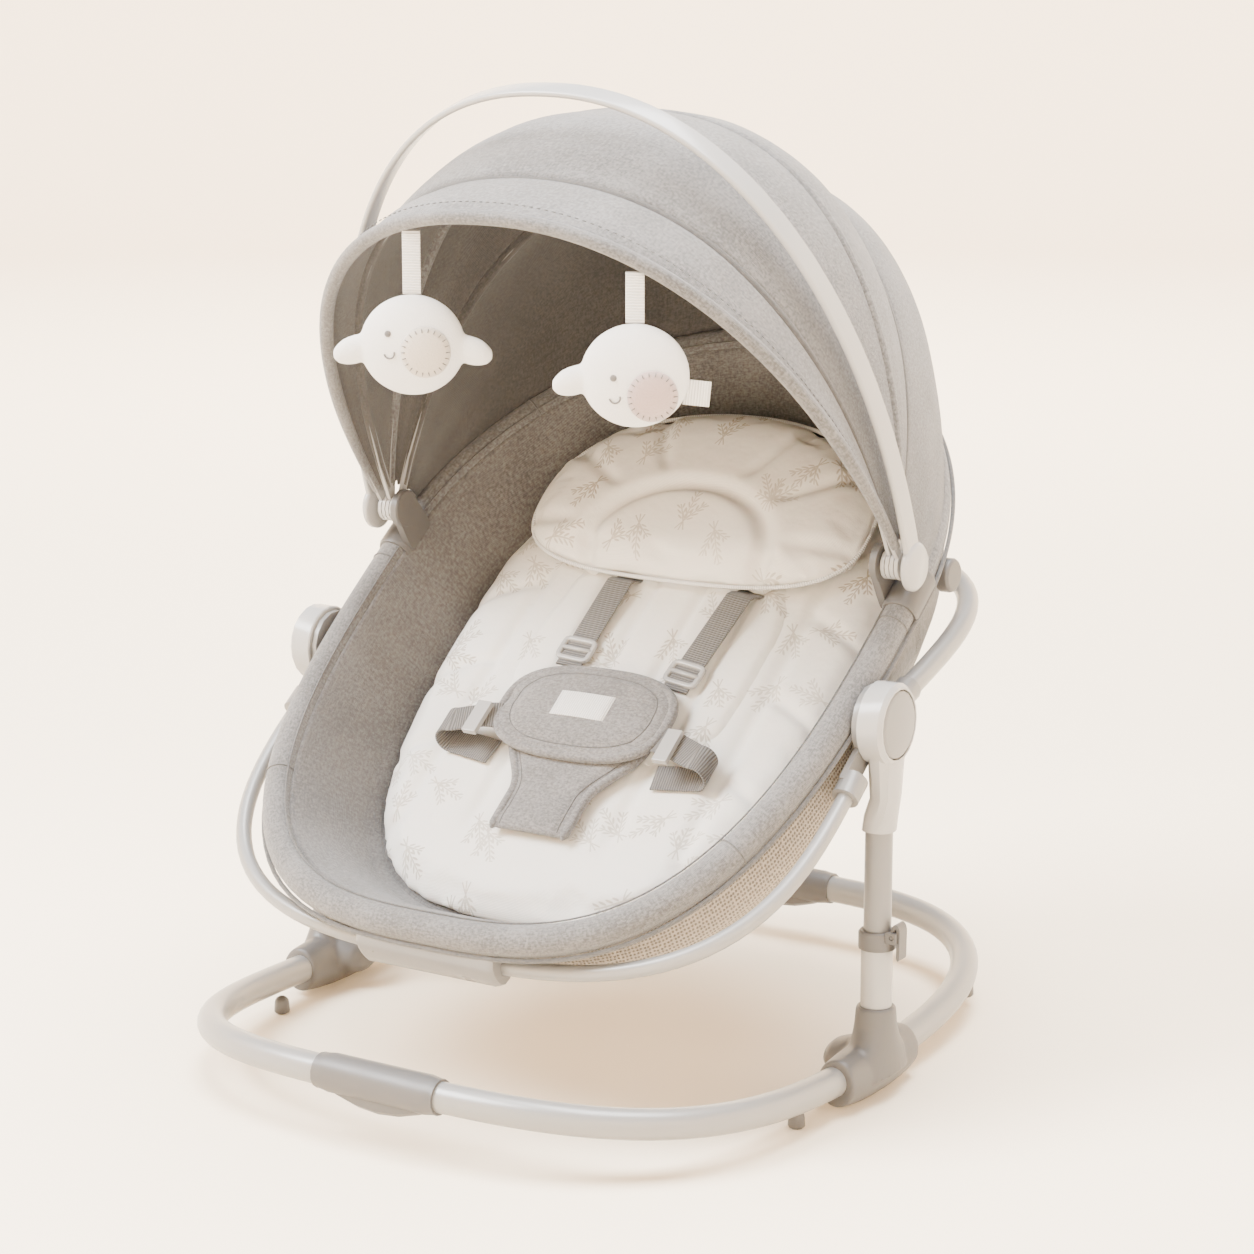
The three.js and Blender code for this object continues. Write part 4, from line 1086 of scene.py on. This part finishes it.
def blend_between_bows(obj, low_body, high_body, start, end):
    """Bakes a hood panel's placement into its mesh and reads the fold value stored when the sheet was laid
    out.
    """
    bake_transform(obj)
    fold = [0.0] * len(obj.data.vertices)
    obj.data.attributes["fold"].data.foreach_get("value", fold)


def build_canopy():
    columns = 96
    for name, (first, second, swell, rows) in PANELS.items():
        panel = surface(f"{name}_cloth", panel_point(first, second, swell), columns, rows)
        fold = panel.data.attributes.new("fold", "FLOAT", "POINT")
        fold.data.foreach_set("value", [1 - j / rows for j in range(rows + 1)] * (columns + 1))
        panel.data.materials.append(MATERIALS["shell"])
        panel.data.materials.append(MATERIALS["lining_painted_shade"])
        # The inner side takes the lining, darkened partly as painted shade for the inside of the hood.
        add_modifier(panel, "SOLIDIFY", thickness=0.0026, offset=-1.0, material_offset=1)
        apply_modifiers(panel)
        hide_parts(name)
        middle = math.pi / 2
        end = arch_point(BOWS[first], middle)
        start = arch_point(BOWS[second], middle) if second else rim_edge(middle)
        blend_between_bows(panel, *PANEL_BODIES[name], start, end)


def slimmer_ends(t):
    """Size of a bow's cloth sleeve along it, slim near the hinges where the bows fold together."""
    return 0.7 + 0.3 * smooth_step(min(t, 1 - t) / 0.16)


def build_bows():
    """Cloth channels over the bows, the rolled front hem and the piped seam."""
    # The second and rear channels, inside the hood, take the lining, darkened partly as painted shade.
    covers = {
        "front": (0.0058, 0.0056, "shell"), "second": (0.0042, 0.0050, "lining_painted_shade"),
        "middle": (0.0052, 0.0052, "shell"), "rear": (0.0042, 0.0050, "lining_painted_shade"),
    }
    for name, (thick, wide, look) in covers.items():
        turn = math.radians(BOWS[name][0])
        normal = Vector((0, -math.sin(turn), math.cos(turn)))
        path = [arch_point(BOWS[name], a, 0.0005) for a in steps(110, OPEN_ANGLE, math.pi - OPEN_ANGLE)]
        section = [(thick * a, wide * b) for a, b in circle(1.0, 16)]
        cover = sweep(f"bow_cover_{name}", path, section, normal, scale=slimmer_ends)
        place(cover, f"{name}_bow", MATERIALS[look])
    build_hem_stitches()


def build_hem_stitches():
    """Dashed row of thread just behind the rolled front hem."""
    front = (BOWS["front"][0] - 2.2, *BOWS["front"][1:])
    stitches = []
    count = 150
    for i in range(count):
        centre = math.radians(14) + (math.pi - math.radians(28)) * i / (count - 1)
        ends = [arch_point(front, centre + k * 0.0045, CLOTH_LIFT + 0.0006) for k in (-1, 1)]
        stitches.append(sweep("stitch", ends, circle(0.0005, 5), Vector((0, 0, 1))))
    place(join("hem_stitches", *stitches), "front_bow", MATERIALS["piping"])


def build_toy_bar():
    turn = math.radians(TOY_BAR[0])
    up = Vector((0, -math.sin(turn), math.cos(turn)))
    path = [arch_point(TOY_BAR, a) for a in steps(120, 0, math.pi)]
    section = [(b, a) for a, b in rounded_bar(0.021, 0.005, 0.45, 6)]
    bar = sweep("toy_bar_strip", path, section, up)
    discs = []
    for side in SIDES.values():
        profile = [
            (0.0, 0.0), (0.0, 0.017), (0.0012, 0.0195),
            (0.0050, 0.0195), (0.0075, 0.0165), (0.0080, 0.0),
        ]
        discs.append(turned(side, 0.2572, profile, HINGE))
    place(join("toy_bar_arch", bar, *discs), "toy_bar", MATERIALS["white"], ["toy_bar"])


def turned(side, start, profile, centre, sides=48):
    """Disc turned about the X axis from (outward, radius) pairs."""
    rings = []
    for outward, radius in profile:
        radius = max(radius, 0.0002)
        rings.append([
            Vector((side * (start + outward), centre.y + a, centre.z + b))
            for a, b in circle(radius, sides)
        ])
    return loft("disc", rings)


# ---------- toys ----------
TOYS = {
    "left": {
        "x": -0.068, "y": -0.160, "top": 0.678, "strap": 0.049, "ears": (-1, 1),
        "patch": "patch_beige", "patch_at": (0.012, -0.004), "tag": False,
    },
    "right": {
        "x": 0.124, "y": -0.145, "top": 0.655, "strap": 0.038, "ears": (-1,),
        "patch": "patch_pink", "patch_at": (0.014, -0.014), "tag": True,
    },
}
TOY_TURN = math.radians(28)
HEAD_WIDTH, HEAD_DEPTH, HEAD_HEIGHT = 0.041, 0.017, 0.039


def ball(name, size, location, turn=0.0):
    bpy.ops.mesh.primitive_uv_sphere_add(segments=40, ring_count=24)
    obj = bpy.context.active_object
    obj.name = name
    shape = Matrix.Rotation(turn, 4, "Y") @ Matrix.Diagonal((*size, 1))
    obj.data.transform(Matrix.Translation(location) @ shape)
    obj.data.polygons.foreach_set("use_smooth", [True] * len(obj.data.polygons))
    return obj


def face_point(a, b, lift=0.0):
    """A point on the front of a toy's head, across and up from its middle."""
    inside = max(0.0, 1 - (a / HEAD_WIDTH) ** 2 - (b / HEAD_HEIGHT) ** 2)
    return Vector((a, -HEAD_DEPTH * math.sqrt(inside) - lift, b))


def build_toy(side, toy):
    middle = Vector((toy["x"], toy["y"], toy["top"] - toy["strap"] - HEAD_HEIGHT))
    turn = Matrix.Translation(middle) @ Matrix.Rotation(TOY_TURN, 4, "Z")
    body = f"toy_{side}"
    ears = [ball("ear", (0.018, 0.007, 0.011), (k * 0.045, 0, -0.004), k * 0.35) for k in toy["ears"]]
    round_head = ball("head", (HEAD_WIDTH, HEAD_DEPTH, HEAD_HEIGHT), (0, 0, 0))
    head = join(f"toy_head_{side}_plush", round_head, *ears)
    add_modifier(head, "REMESH", mode="VOXEL", voxel_size=0.0018)
    apply_modifiers(head)
    smooth(head, 6)
    head.data.transform(turn)
    place(head, body, MATERIALS["plush"], [f"toy_head_{side}"])
    build_toy_face(side, toy, turn, body)
    if toy["tag"]:
        fold = [Vector((x, 0.001, -0.012 - 0.10 * (x - 0.038))) for x in steps(6, 0.036, 0.056)]
        tag = sweep(f"toy_tag_{side}", fold, rounded_bar(0.019, 0.0009), Vector((0, 1, 0)))
        tag.data.transform(turn)
        place(tag, body, MATERIALS["tape"])
    strap_path = [Vector((toy["x"], toy["y"], toy["top"] - toy["strap"] * t)) for t in steps(12)]
    across = Matrix.Rotation(TOY_TURN, 3, "Z") @ Vector((0, 1, 0))
    strap = sweep(f"toy_strap_{side}_tape", strap_path, rounded_bar(0.014, 0.0018), across)
    place(strap, body, MATERIALS["tape"], [f"toy_strap_{side}"])


def build_toy_face(side, toy, turn, body):
    """Round snout patch with a row of stitches, a dot eye and a small smile."""
    pa, pb = toy["patch_at"]
    rings = []
    for radius, lift in [(0.019, 0.0002), (0.0185, 0.0016), (0.012, 0.0028), (0.004, 0.0032)]:
        rings.append([face_point(pa + a, pb + 1.05 * b, lift) for a, b in circle(radius, 40)])
    patch = loft(f"toy_patch_{side}", rings)
    patch.data.transform(turn)
    place(patch, body, MATERIALS[toy["patch"]])
    marks = []
    for i in range(22):
        a = 2 * math.pi * i / 22
        ends = [face_point(pa + r * math.cos(a), pb + r * math.sin(a), 0.0024) for r in (0.0155, 0.0185)]
        marks.append(sweep("mark", ends, circle(0.0004, 6), Vector((0, 1, 0))))
    smile = []
    for a in steps(12, math.pi * 1.05, math.pi * 2.1):
        across, up = 0.004 * math.cos(a), 0.004 * math.sin(a)
        smile.append(face_point(pa - 0.028 + across, pb - 0.001 + up, 0.0006))
    marks.append(sweep("smile", smile, circle(0.0007, 6), Vector((0, 1, 0))))
    marks.append(ball("eye", (0.0026, 0.0012, 0.0026), face_point(pa - 0.029, pb + 0.014, 0.0002)))
    face = join(f"toy_face_{side}", *marks)
    face.data.transform(turn)
    place(face, body, MATERIALS["thread"])


build_camera()
build_stage()
build_lights()
build_tubes()
for post_side, post_sign in SIDES.items():
    build_saddle(post_side, post_sign)
build_rim()
build_rim_seams()
build_tub()
build_seat_pad()
build_body_cushion()
build_pillow()
build_belly_pad()
build_crotch_pad()
build_straps()
build_canopy()
build_bows()
build_toy_bar()
for toy_side, toy_facts in TOYS.items():
    build_toy(toy_side, toy_facts)
finish_cad_nodes()
